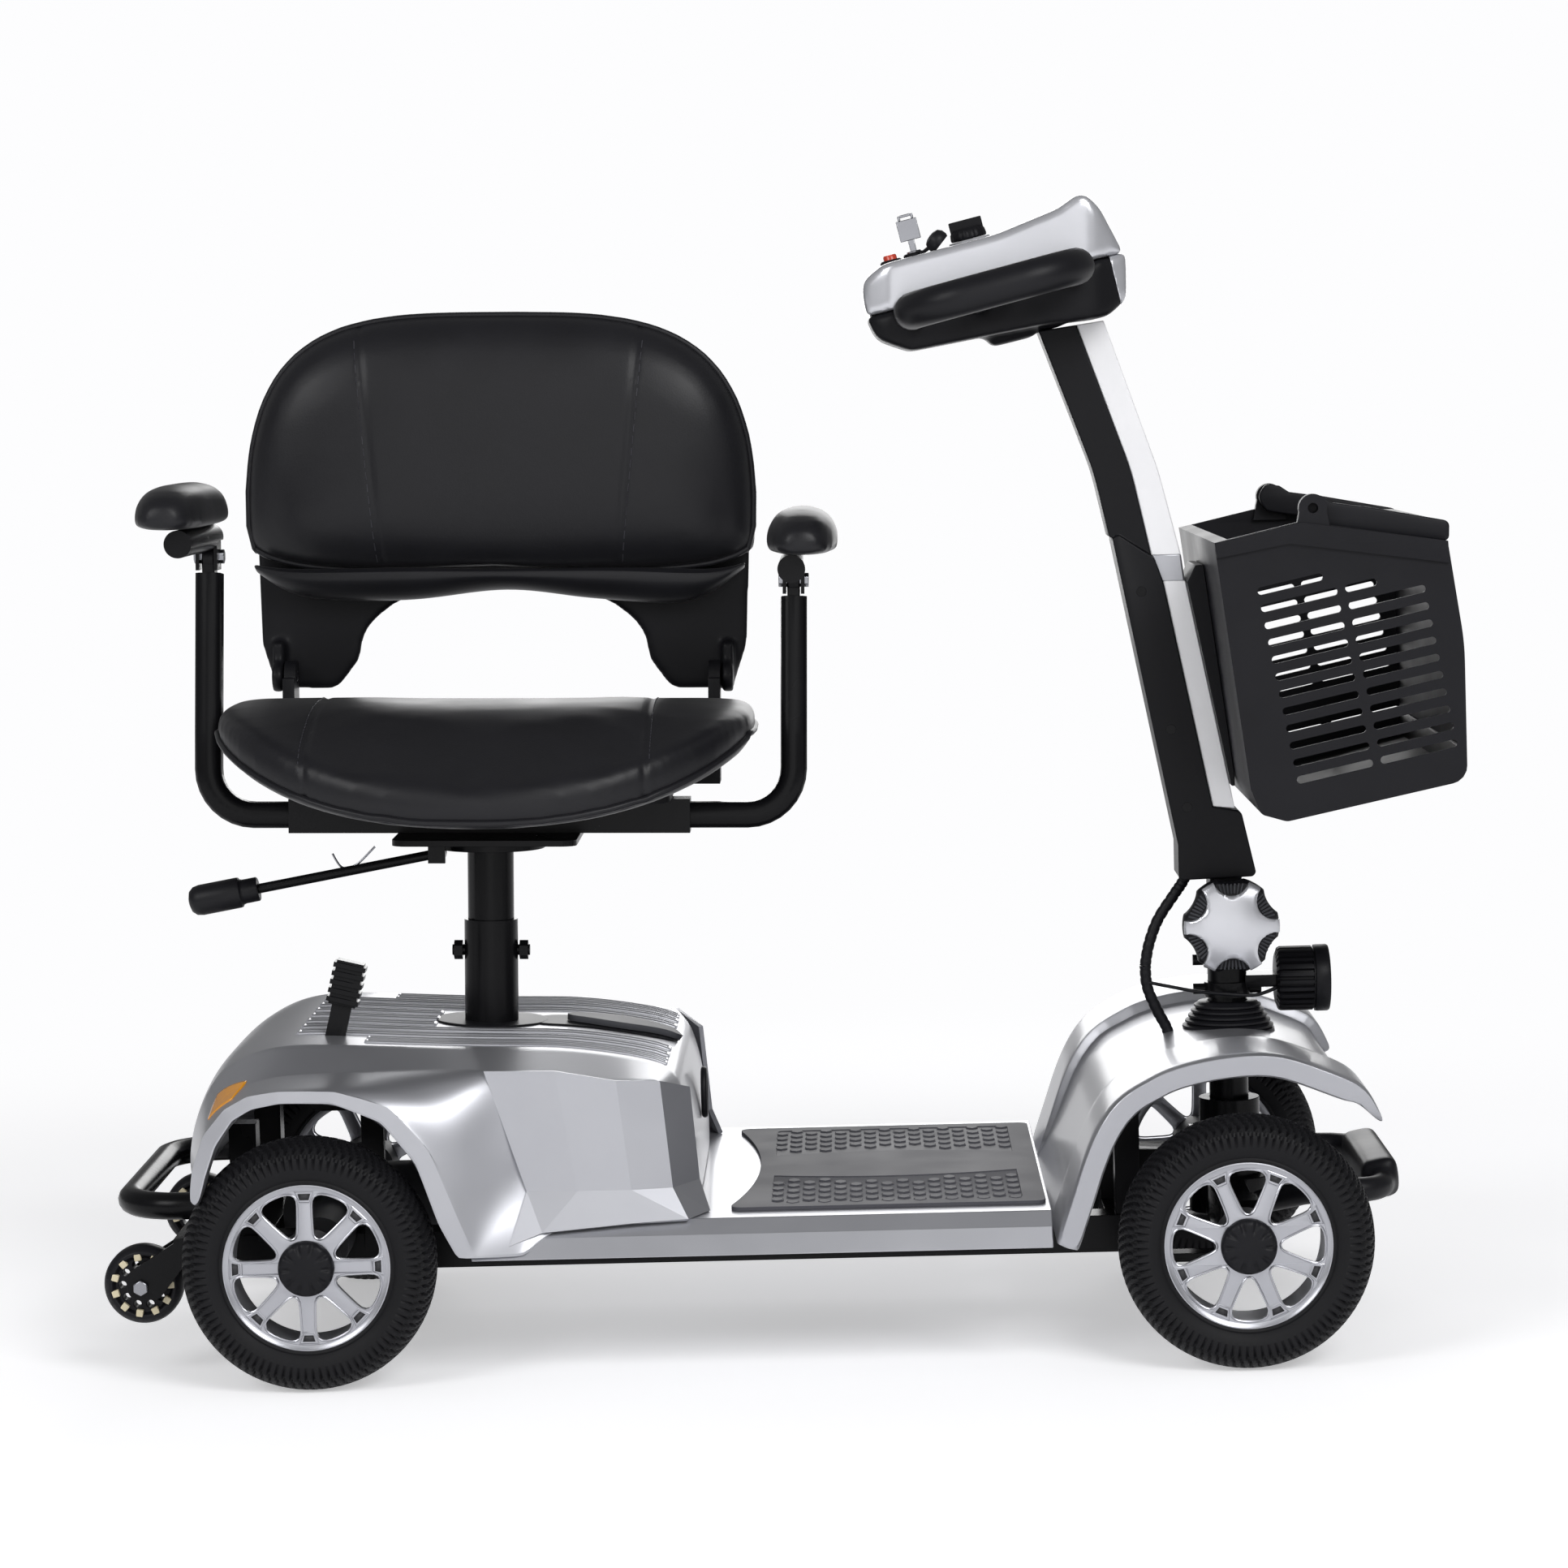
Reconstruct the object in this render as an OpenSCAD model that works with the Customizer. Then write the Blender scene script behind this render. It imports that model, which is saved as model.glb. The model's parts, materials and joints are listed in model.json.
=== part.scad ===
// Four-wheel mobility scooter: folding tiller, swivel seat, front basket.
// +X points forward, +Y to the left, +Z up, and the ground is Z = 0. All sizes are in millimetres.

/* [Wheels] */
// Distance between the front and the rear axle
wheelbase = 732; // [680:1:800]
// Distance between the middles of the left and the right tyre
track = 435; // [425:1:470]
// Rear axle, measured back from the origin
rear_axle_back = 371.5; // [360:0.5:390]
// Outside diameter of a tyre
tyre_d = 200; // [190:1:210]
// Widest part of a tyre
tyre_w = 56; // [50:1:58]
// Diameter of the rim flange
rim_d = 128; // [120:1:134]
// Openings between the spokes of a rim
spoke_count = 8; // [6:1:10]
// Diameter of the axle shafts
axle_d = 16; // [12:0.5:18]
// Diameter of an anti-tip wheel
tip_wheel_d = 63; // [56:1:66]
// Distance between the two anti-tip wheels
tip_track = 324; // [300:1:330]

/* [Covers] */
// Wall of the moulded covers
wall = 4; // [3:0.5:5]
// Height of the deck
deck_z = 127; // [120:1:135]
// Half width of the deck at its top edge
deck_half = 214; // [205:1:218]
// Height of the flat top of the rear cover
plateau_z = 258; // [250:1:266]
// Half width of the flat top of the rear cover
plateau_half = 154; // [140:1:165]
// Radius of the rear wheel arch
arch_r = 120; // [114:1:124]
// Height of the front cover's top
front_top_z = 247; // [244:1:256]
// Thickness of the floor mat
mat_t = 3; // [2:0.5:4]
// Half width of the floor mat
mat_half = 188; // [170:1:200]

/* [Steering] */
// Steering axis, in front of the front axle
steer_lead = 6.5; // [0:0.5:12]
// Kingpins, each side of the middle
kingpin_half = 160; // [152:1:165]
// Length of the steering arms
steer_arm = 60; // [50:1:70]
// Height of the tilt pivot
tilt_z = 327; // [320:1:335]
// Diameter of the steering column
column_d = 32; // [28:1:36]
// Half width of the tiller post
post_half = 27; // [24:1:30]
// Half width of the console
console_half = 78; // [70:1:84]
// Reach of the loop grips from the middle
grip_half = 212; // [190:1:225]
// Diameter of the loop grips
grip_d = 29; // [25:1:32]
// Diameter of the headlight
lamp_d = 55; // [48:1:58]

/* [Basket] */
// Half width of the basket
basket_half = 185; // [160:1:200]
// Wall of the basket
basket_wall = 4; // [3:0.5:5]
// Rows of slots in the basket's sides
slot_rows = 12; // [8:1:12]
// Height of one slot
slot_h = 6; // [4:0.5:7]

/* [Seat] */
// Forward lean of the seat post in degrees
post_rake = 1.4; // [0:0.1:3]
// Diameter of the seat post
seat_post_d = 38; // [32:1:40]
// Wall of the sleeve round the seat post
sleeve_wall = 3; // [2.5:0.5:5]
// Half width of the seat cushion
seat_half = 220; // [200:1:221]
// Thickness of the seat cushion in the middle
seat_t = 58; // [45:1:65]
// Half width of the backrest
back_half = 218; // [200:1:219]
// Thickness of the back cushion
back_t = 50; // [36:1:50]
// Diameter of the arm tubes
arm_d = 22; // [19:0.5:24]
// Left arm tube, from the seat post
left_arm_x = 233; // [230:1:250]
// Right arm tube, from the seat post
right_arm_x = 250; // [240:1:265]
// Height of the left arm rest bar above the rear cover
left_arm_z = 397; // [385:1:410]
// Height of the right arm rest bar above the rear cover
right_arm_z = 377; // [370:1:395]
// Length of an arm pad
pad_len = 235; // [200:1:250]
// Width of an arm pad
pad_w = 58; // [45:1:60]

/* [Hidden] */
$fn = 48;
// Radial clearance of running fits, and the air between pieces that pass each other
run_fit = 0.05;
gap = 0.5;
rear_x = -rear_axle_back;
front_x = rear_x + wheelbase;
wheel_z = tyre_d / 2;
wheel_y = track / 2;
rim_r = rim_d / 2;
// Half width of the covers over the wheels, which goes with the deck
fender_half = deck_half + 22;
steer_x = front_x + steer_lead;
deck_rear_x = rear_x + 128;
deck_front_x = front_x - 145;
post_x = rear_x + 131;
post_base_z = plateau_z + 1;
sleeve_r = seat_post_d / 2 + run_fit + sleeve_wall;
// Heights along the seat post, above post_base_z
sleeve_top = 83;
post_top = 150;
plate_t = 5;
receiver_h = 28;
receiver_z = post_top + plate_t + receiver_h / 2;
pan_z = receiver_z + receiver_h / 2;
hinge_y = 150;
hinge_up = 273;
console_tilt = 14.5;

// Corner arcs of a rounded polygon: each entry of pts is [x, y, radius]
function unit(v) = v / norm(v);
function corner(a, p, b) =
    let (u = unit([a.x - p.x, a.y - p.y]), v = unit([b.x - p.x, b.y - p.y]))
    let (half = acos(max(-1, min(1, u * v))) / 2, r = p[2])
    r == 0 || half > 89 ? [[p.x, p.y]] :
    let (t = r / tan(half), mid = unit(u + v), c = [p.x, p.y] + mid * r / sin(half))
    let (s = [p.x, p.y] + u * t, e = [p.x, p.y] + v * t)
    [for (i = [0:4]) c + r * unit((s - c) * (4 - i) + (e - c) * i)];
function rounded(pts) =
    [for (i = [0:len(pts) - 1])
        each corner(pts[(i + len(pts) - 1) % len(pts)], pts[i], pts[(i + 1) % len(pts)])];

// A side view outline, given as [x, z], drawn out from y0 to y1
module side_extrude(y0, y1) {
    translate([0, y1, 0])
        rotate([90, 0, 0])
            linear_extrude(y1 - y0)
                children();
}

// A front view outline, given as [y, z], drawn out from x0 to x1
module front_extrude(x0, x1) {
    translate([x0, 0, 0])
        rotate([90, 0, 90])
            linear_extrude(x1 - x0)
                children();
}

// A cylinder along Y from y0 to y1
module bar_y(d, y0, y1) {
    translate([0, y1, 0])
        rotate([90, 0, 0])
            cylinder(d = d, h = y1 - y0);
}

// A cylinder along X from x0 to x1
module bar_x(d, x0, x1) {
    translate([x0, 0, 0])
        rotate([0, 90, 0])
            cylinder(d = d, h = x1 - x0);
}

module box(low, high) {
    translate(low)
        cube(high - low);
}

// The points of a line with a bend of radius r, in k steps, at each inner point
function bent(pts, r, k) =
    let (n = len(pts))
    [for (i = [0:n - 1])
        each i == 0 || i == n - 1 ? [pts[i]] :
        let (u = unit(pts[i - 1] - pts[i]), v = unit(pts[i + 1] - pts[i]), half = acos(u * v) / 2)
        let (c = pts[i] + unit(u + v) * r / sin(half), s = pts[i] + u * r / tan(half) - c)
        let (e = pts[i] + v * r / tan(half) - c, turn = 180 - 2 * half)
        [for (j = [0:k]) c + (s * sin(turn * (1 - j / k)) + e * sin(turn * j / k)) / sin(turn)]];

// A bent round bar, drawn as a tube of sides faces
module run(pts, d, r) {
    cable(bent(pts, r, 5), d, 16);
}

// Turns the Z axis to direction a at point p
module along(p, a) {
    translate(p)
        rotate([0, acos(a.z), atan2(a.y, a.x)])
            children();
}

// A closed skin over rings of equal length, from the first ring to the last
module skin(rings) {
    n = len(rings[0]);
    m = len(rings);
    sides = [for (i = [0:m - 2], j = [0:n - 1])
        let (k = (j + 1) % n)
        each [[i * n + j, i * n + k, (i + 1) * n + k], [i * n + j, (i + 1) * n + k, (i + 1) * n + j]]];
    first = [for (j = [1:n - 2]) [0, j + 1, j]];
    last = [for (j = [1:n - 2]) [(m - 1) * n, (m - 1) * n + j, (m - 1) * n + j + 1]];
    polyhedron([for (ring = rings) each ring], concat(sides, first, last));
}

// Carries the side direction u along a list of headings without twist
function carry(u, dirs, i) =
    i == len(dirs) ? [] :
    let (v = unit(u - dirs[i] * (u * dirs[i])))
    concat([v], carry(v, dirs, i + 1));

// A tube of n sides along a route
module cable(route, d, n) {
    m = len(route);
    dirs = [for (i = [0:m - 1]) unit(route[min(i + 1, m - 1)] - route[max(i - 1, 0)])];
    side = carry(cross(dirs[0], unit([0.3, 0.2, 1])), dirs, 0);
    skin([for (i = [0:m - 1])
        [for (j = [0:n - 1])
            route[i] + d / 2 * (side[i] * cos(360 * j / n) - cross(dirs[i], side[i]) * sin(360 * j / n))]]);
}

// Smooth curve through hand-placed points
function spline_at(p, i, t) =
    let (n = len(p), a = p[max(i - 1, 0)], b = p[i], c = p[min(i + 1, n - 1)], d = p[min(i + 2, n - 1)])
    0.5 * (2 * b + (c - a) * t + (2 * a - 5 * b + 4 * c - d) * t * t + (3 * b - a - 3 * c + d) * t * t * t);
function spline(p, steps) =
    concat([for (i = [0:len(p) - 2], s = [0:steps - 1]) spline_at(p, i, s / steps)], [p[len(p) - 1]]);

// Wheels
tyre_half_h = (tyre_d - rim_d) / 4 + 1;
tyre_mid_r = tyre_d / 2 - tyre_half_h;
rim_face = tyre_w / 2 - 0.5;
hub_r = 22;

module tyre() {
    color("#1b1b1c")
        difference() {
            rotate_extrude($fn = 96)
                polygon([for (i = [0:35])
                    let (a = 360 * i / 36, c = cos(a), s = sin(a))
                    [tyre_mid_r + tyre_half_h * sign(c) * pow(abs(c), 0.75),
                        tyre_w / 2 * sign(s) * pow(abs(s), 0.75)]]);
            cylinder(r = rim_r + gap / 5, h = tyre_w + 2, center = true, $fn = 96);
        }
}

// One rounded opening between two spokes
module spoke_opening() {
    inner = hub_r + 14;
    outer = rim_r - 12;
    root_r = 7;
    span = 180 / spoke_count - 7.5;
    polygon(concat(
        [for (i = [0:8]) [inner - root_r * sin(20 * i + 10), root_r * cos(20 * i + 10)]],
        [for (i = [-4:4]) outer * [cos(span * i / 4), sin(span * i / 4)]]));
}

// Rim with its domed hub cap: +Z is the outer face
module rim() {
    flange = 3;
    barrel_r = rim_r - 6;
    disc_low = 10;
    disc_high = rim_face - 7;
    difference() {
        union() {
            rotate_extrude($fn = 96)
                polygon([[barrel_r, -rim_face + 3], [rim_r, -rim_face + 3], [rim_r, rim_face - flange],
                    [rim_r + 2, rim_face - flange], [rim_r + 2, rim_face], [barrel_r - 2, rim_face],
                    [barrel_r - 4, rim_face - 4], [barrel_r - 4, disc_low], [barrel_r, disc_low - 3]]);
            difference() {
                translate([0, 0, disc_low])
                    cylinder(r = barrel_r - 3, h = disc_high - disc_low);
                for (i = [0:spoke_count - 1])
                    rotate(360 / spoke_count * i)
                        translate([0, 0, disc_low - 1])
                            linear_extrude(disc_high)
                                spoke_opening();
            }
            translate([0, 0, -12])
                cylinder(r = hub_r, h = rim_face + 9);
        }
        translate([0, 0, -13])
            cylinder(d = axle_d + 2 * run_fit, h = rim_face + 6);
    }
    translate([0, 0, rim_face - 3])
        rotate_extrude()
            polygon(concat([[0, 0], [hub_r - 1, 0]],
                [for (i = [0:6]) [(hub_r - 1) * cos(15 * i), 2 + 4 * sin(15 * i)]]));
}

// Places a wheel part made about Z at an axle: side is 1 on the left and -1 on the right
module at_wheel(x, side, turn) {
    translate([x, side * wheel_y, wheel_z])
        rotate([-90 * side, 0, 0])
            rotate(turn)
                children();
}

module rear_tyre_left() at_wheel(rear_x, 1, 0) tyre();
module rear_tyre_right() at_wheel(rear_x, -1, 0) tyre();
module front_tyre_left() at_wheel(front_x, 1, 0) tyre();
module front_tyre_right() at_wheel(front_x, -1, 0) tyre();
module rear_rim_left() color("#c4c5c9") at_wheel(rear_x, 1, 0) rim();
module rear_rim_right() color("#c4c5c9") at_wheel(rear_x, -1, 22.5) rim();
module front_rim_left() color("#c4c5c9") at_wheel(front_x, 1, 22.5) rim();
module front_rim_right() color("#c4c5c9") at_wheel(front_x, -1, 0) rim();

// Frame
rail_half = 78;
rail_w = 30;
rail_z = 84;
rail_h = 30;
beam_z = wheel_z;
eye_r = 14;
eye_h = 36;
head_d = column_d + 18;

free_x = rear_x + 1;
free_y = -108;
free_z = plateau_z - 46;

module main_frame() {
    rear_end = rear_x - 78;
    nose_end = front_x - 72;
    low = rail_z - rail_h / 2;
    high = rail_z + rail_h / 2;
    neck_z = beam_z + 15 + gap;
    color("#232325") {
        difference() {
            union() {
                for (s = [-1, 1])
                    box([rear_end, s * rail_half - rail_w / 2, low], [nose_end, s * rail_half + rail_w / 2, high]);
                for (x = [rear_end, post_x - 15, deck_rear_x + 190, nose_end - rail_w])
                    box([x, -rail_half, low], [x + rail_w, rail_half, high]);
                // Seat post socket on its cross member
                in_seat()
                    translate([0, 0, rail_z - post_base_z])
                        cylinder(r = sleeve_r + 6, h = 36);
                // Bracket and pin of the freewheel lever
                box([rear_x + 30, free_y + 12, rail_z], [rear_x + 48, free_y + 24, plateau_z - 38]);
                box([rear_x - 9, free_y + 12, plateau_z - 58], [rear_x + 48, free_y + 18, plateau_z - 38]);
                translate([free_x, free_y, free_z])
                    bar_y(8, -8, 14);
                // Raised neck over the axle beam, and the head tube of the steering column
                box([nose_end - rail_w, -20, low], [nose_end, 20, neck_z + 24]);
                box([nose_end - rail_w, -20, neck_z], [steer_x, 20, neck_z + 24]);
                translate([steer_x, 0, rail_z])
                    cylinder(d = head_d, h = 95);
                // Posts that carry the covers
                for (s = [-1, 1]) {
                    side_extrude(s * rail_half - 12, s * rail_half + 12)
                        intersection() {
                            translate([nose_end - 22, rail_z])
                                square([20, front_top_z]);
                            polygon(concat(arch_line(wall, front_drop), [[front_x + 100, 0], [deck_front_x + 30, 0]]));
                        }
                    box([post_x + 60, s * rail_half - 12, rail_z], [post_x + 84, s * rail_half + 12, deck_z - wall]);
                    box([rear_end, s * rail_half - 12, rail_z], [rear_end + 22, s * rail_half + 12, 190]);
                }
            }
            in_seat()
                translate([0, 0, rail_z - rail_h - post_base_z])
                    cylinder(r = sleeve_r + run_fit, h = 200);
            translate([steer_x, 0, 0])
                cylinder(d = column_d + 2 * run_fit, h = 400);
        }
    }
}

bumper_d = 22;
bumper_z = 124;

module rear_bumper() {
    tail = rear_x - 158;
    inner = rear_x - 62;
    color("#1d1d1f")
        difference() {
            run([[inner, -rail_half, rail_z + 40], [inner - 20, -140, bumper_z + 10], [tail, -140, bumper_z + 10],
                [tail, 140, bumper_z + 10], [inner - 20, 140, bumper_z + 10], [inner, rail_half, rail_z + 40]],
                bumper_d, 22);
            for (s = [-1, 1])
                box([rear_x - 78, s * rail_half - 12, rail_z], [rear_x - 56, s * rail_half + 12, 191]);
        }
}

module front_bumper() {
    nose = front_x + 122;
    pad = 16;
    color("#1d1d1f") {
        difference() {
            run([[front_x + 2, -76, beam_z], [front_x + 62, -110, bumper_z - 6], [nose, -110, bumper_z - 6],
                [nose, 110, bumper_z - 6], [front_x + 62, 110, bumper_z - 6], [front_x + 2, 76, beam_z]],
                bumper_d, 26);
            box([front_x - 40, -200, 0], [front_x + 15, 200, 200]);
        }
        difference() {
            side_extrude(-78, 78)
                polygon(rounded([[nose - pad, bumper_z - 6 - pad, 5], [nose + pad, bumper_z - 2 - pad, 7],
                    [nose + pad - 2, bumper_z + pad, 7], [nose - pad, bumper_z - 6 + pad, 5]]));
            translate([nose, 0, bumper_z - 6])
                bar_y(bumper_d + gap, -79, 79);
        }
    }
}

module transaxle() {
    color("#2a2a2c")
        translate([rear_x, 0, wheel_z]) {
            difference() {
                union() {
                    bar_y(46, -150, 150);
                    translate([0, 20, 0])
                        bar_y(92, -34, 34);
                    bar_y(axle_d, -wheel_y - 12, wheel_y + 12);
                    translate([0, 20, 0])
                        bar_x(76, 0, 60);
                }
                for (s = [-1, 1])
                    box([-90, s * rail_half - rail_w / 2 - gap, -60],
                        [100, s * rail_half + rail_w / 2 + gap, rail_z + rail_h / 2 - wheel_z]);
            }
            // Drive motor with its brake end
            translate([0, 20, 0]) {
                bar_x(80, 60, 92);
                bar_x(50, 92, 99);
            }
        }
}

module controller_box() {
    color("#2c2d30")
        box([deck_rear_x + 225, -55, rail_z - 15], [deck_rear_x + 345, 55, deck_z - wall]);
}

// Battery pack under the front of the rear cover, with its charge port in front
battery_x0 = rear_x + 182;
battery_x1 = rear_x + 290;

module battery_pack() {
    color("#b9bac0")
        difference() {
            side_extrude(-108, 108)
                polygon(rounded([[battery_x0, deck_z, 4], [battery_x1, deck_z, 4], [battery_x1, plateau_z - 52, 6],
                    [battery_x1 - 18, plateau_z - 24, 8], [battery_x0, plateau_z - 24, 8]]));
            translate([battery_x1 - 14, 0, plateau_z - 66])
                bar_x(19, 0, 20);
        }
}

battery_pin_x = battery_x0 - 6;
battery_pin_z = plateau_z - 7;

module battery_handle() {
    pivot_x = battery_pin_x - 6;
    color("#55565a")
        translate([0, 0, battery_pin_z - 3.5])
            difference() {
                union() {
                    linear_extrude(7)
                        polygon(rounded([[pivot_x, -16, 10], [pivot_x + 70, -22, 20], [pivot_x + 110, -13, 4],
                            [pivot_x + 110, 13, 4], [pivot_x + 70, 22, 20], [pivot_x, 16, 10]]));
                    translate([pivot_x + 6, 0, 3.5])
                        bar_y(10, -15, 15);
                }
                translate([pivot_x + 6, 0, 3.5])
                    bar_y(5 + 2 * run_fit, -17, 17);
            }
}

// Rear cover: the side outline crossed with the front outline, hollow underneath
tail_x = rear_x - 102;
rear_front_x = rear_x + 305;

module rear_form(in) {
    drop = 18;
    intersection() {
        side_extrude(-fender_half, fender_half)
            polygon(rounded([[tail_x + in, deck_z - 24 - in, 0], [tail_x - 3 + in, deck_z + 60, 40],
                [tail_x + 20 + in, plateau_z - 22 - in, 24], [tail_x + 72 + in, plateau_z + 8 - in, 20],
                [rear_front_x - 110, plateau_z - in, 60], [rear_front_x - 20 - in, plateau_z - drop - in, 8],
                [rear_front_x - 4 - in, plateau_z - 66, 10], [rear_front_x - in, deck_z + gap - in, 0]]));
        front_extrude(tail_x - 10, rear_front_x + 10)
            polygon(rounded([[-fender_half + in, deck_z - 30 - in, 0], [-fender_half + 8 + in, plateau_z - 30, 40],
                [-plateau_half + in, plateau_z + 5 - in, 14], [plateau_half - in, plateau_z + 5 - in, 14],
                [fender_half - 8 - in, plateau_z - 30, 40], [fender_half - in, deck_z - 30 - in, 0]]));
        translate([0, 0, deck_z - 40 - in])
            linear_extrude(200)
                polygon(rounded([[tail_x - 10 + in, -150 + in, 60], [tail_x + 26 + in, -fender_half + in, 40],
                    [rear_front_x - 60, -fender_half + in, 40], [rear_front_x + 2 - in, -176 + in, 20],
                    [rear_front_x + 2 - in, 176 - in, 20], [rear_front_x - 60, fender_half - in, 40],
                    [tail_x + 26 + in, fender_half - in, 40], [tail_x - 10 + in, 150 - in, 60]]));
    }
}

module rear_cover() {
    lip = 10;
    arch_z = wheel_z + 6;
    ribs = 9;
    color("#b6b7bc")
        difference() {
            union() {
                difference() {
                    rear_form(0);
                    rear_form(wall);
                    translate([rear_x, 0, arch_z])
                        bar_y(2 * arch_r, -fender_half - 5, fender_half + 5);
                    box([deck_rear_x - 4, -300, 0], [rear_front_x + 20, 300, deck_z]);
                    box([tail_x - 20, -300, 0], [rear_x - 80, 300, deck_z + 21]);
                    box([rear_x - 120, -300, 0], [deck_rear_x, 300, wheel_z]);
                }
                // Rolled lip of the wheel arches
                for (s = [-1, 1])
                    intersection() {
                        translate([rear_x, s * (fender_half - 7.5), arch_z])
                            difference() {
                                bar_y(2 * (arch_r + lip), -9.5, 9.5);
                                bar_y(2 * arch_r, -10, 10);
                            }
                        box([tail_x + 8, -300, wheel_z + 2], [deck_rear_x - gap, 300, 400]);
                    }
                // Raised ribs on the flat top
                for (i = [0:ribs - 1])
                    if (i != 4)
                        translate([0, (i - (ribs - 1) / 2) * 32, plateau_z - 1])
                            box([tail_x + 86, -4, -2], [rear_front_x - 112, 4, 3.5]);
            }
            in_seat()
                translate([0, 0, -30])
                    cylinder(r = sleeve_r + 4, h = 60);
            // Slot of the freewheel lever and recess of the battery handle
            box([rear_x - 4, -118, plateau_z - 30], [rear_x + 62, -98, plateau_z + 20]);
            box([battery_x0 - 17, -24, plateau_z - 30], [rear_front_x + 1, 24, plateau_z + 20]);
            // Opening in front of the charge port
            translate([rear_front_x - 30, 0, plateau_z - 66])
                bar_x(26, 0, 60);
        }
    // Ears and pin of the battery handle
    color("#b6b7bc")
        translate([battery_pin_x, 0, battery_pin_z]) {
            for (s = [-1, 1])
                box([-6, min(s * 24, s * 29), -6], [6, max(s * 24, s * 29), 5]);
            bar_y(5, -26, 26);
        }
}

module deck_cover() {
    skirt = fender_half - deck_half - 1;
    outer = [[-deck_half - skirt, deck_z - 26], [-deck_half - 11, deck_z - 11], [-deck_half, deck_z],
        [deck_half, deck_z], [deck_half + 11, deck_z - 11], [deck_half + skirt, deck_z - 26]];
    inner = [for (i = [5:-1:0]) outer[i] - [wall * sign(outer[i].x), abs(outer[i].x) > deck_half + 15 ? 0 : wall]];
    color("#b6b7bc")
        difference() {
            front_extrude(deck_rear_x, deck_front_x - 6)
                polygon(concat(outer, inner));
            in_seat()
                translate([0, 0, -200])
                    cylinder(r = sleeve_r + 10, h = 200);
        }
}

module floor_mat() {
    rear = rear_x + 330;
    front = deck_front_x - 9;
    color("#3f4044")
        translate([0, 0, deck_z])
            difference() {
                linear_extrude(mat_t)
                    polygon(rounded([[rear, -mat_half, 8], [front, -mat_half, 8], [front, mat_half, 8],
                        [rear, mat_half, 8]]));
                translate([rear - 760, 0, -1])
                    cylinder(r = 780, h = mat_t + 2, $fn = 180);
                // Plain lens-shaped band between two sunk panels
                for (s = [-1, 1])
                    translate([0, 0, mat_t - 0.8])
                        linear_extrude(2)
                            difference() {
                                polygon(rounded([[rear + 32, s * 34, 6], [front - 18, s * 34, 6],
                                    [front - 18, s * (mat_half - 16), 6], [rear + 32, s * (mat_half - 16), 6]]));
                                translate([(rear + front) / 2, -s * 290])
                                    circle(r = 350, $fn = 120);
                            }
            }
}

// Front cover: one arched sheet over both front wheels, lower in the middle, with deep side lips
front_drop = 10;
front_step = 140;
function arch_line(in, drop) = rounded([
    [deck_front_x - 4 + in, deck_z - 24, 0], [deck_front_x + 34 + in, front_top_z - 52 - in, 60],
    [front_x - 66 + in, front_top_z - 4 - in - drop, 34], [front_x + 10, front_top_z + 4 - in - drop, 60],
    [front_x + 84 - in, front_top_z - 16 - in - drop, 50], [front_x + 112 - in, front_top_z - 60, 0]]);

// The sheet between two such lines, from y0 to y1
module arch_sheet(y0, y1, out_in, out_drop, in_in, in_drop) {
    under = [[front_x + 100, 0], [deck_front_x + 30, 0]];
    side_extrude(min(y0, y1), max(y0, y1))
        difference() {
            polygon(concat(arch_line(out_in, out_drop), under));
            polygon(concat(arch_line(in_in, in_drop), under));
        }
}

module front_cover() {
    lip = 14;
    step = front_step + wall;
    color("#b6b7bc")
        difference() {
            union() {
                arch_sheet(-step, step, 0, front_drop, wall, front_drop);
                for (s = [-1, 1]) {
                    arch_sheet(s * front_step, s * step, 0, 0, wall, front_drop);
                    arch_sheet(s * front_step, s * (fender_half - 2), 0, 0, wall, 0);
                    arch_sheet(s * (fender_half - 10), s * fender_half, -1, 0, lip, 0);
                }
            }
            translate([steer_x, 0, front_top_z - 60])
                cylinder(d = column_d + 24, h = 100);
            // Hole of the wiring harness
            translate([front_x - 46, 0, front_top_z - 60])
                cylinder(d = 24, h = 100);
            box([0, -300, -10], [600, 300, deck_z - 26]);
            box([front_x + 60, -300, -10], [600, 300, front_top_z - 62]);
            // Rounded front corners
            for (s = [-1, 1])
                translate([front_x + 112, s * fender_half, 0])
                    rotate(45)
                        box([-45, -45, 0], [45, 45, 400]);
        }
}

// Freewheel lever with a ribbed grip, on a boss of the transaxle
module freewheel_lever() {
    color("#202022")
        translate([free_x, free_y, free_z]) {
            rotate([0, 14, 0]) {
                difference() {
                    union() {
                        box([-8, -3, 0], [8, 3, 78]);
                        bar_y(18, -6, 6);
                    }
                    bar_y(8 + 2 * run_fit, -8, 8);
                }
                box([-11, -7, 78], [11, 7, 114]);
                for (i = [0:4])
                    box([-13, -8.5, 80 + 7 * i], [13, 8.5, 84 + 7 * i]);
            }
        }
}

// Front axle
module front_axle_beam() {
    color("#232325")
        difference() {
            union() {
                box([front_x - 15, -kingpin_half + 8, beam_z - 15], [front_x + 15, kingpin_half - 8, beam_z + 15]);
                for (s = [-1, 1])
                    translate([front_x, s * kingpin_half, beam_z - eye_h / 2])
                        cylinder(r = eye_r, h = eye_h);
                translate([steer_x, 0, beam_z - 15])
                    cylinder(d = column_d + 36, h = 30);
            }
            for (s = [-1, 1])
                translate([front_x, s * kingpin_half, beam_z - eye_h])
                    cylinder(d = 12 + 2 * run_fit, h = 2 * eye_h);
            translate([steer_x, 0, beam_z - 40])
                cylinder(d = head_d + 2 * run_fit, h = 80);
        }
}

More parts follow.
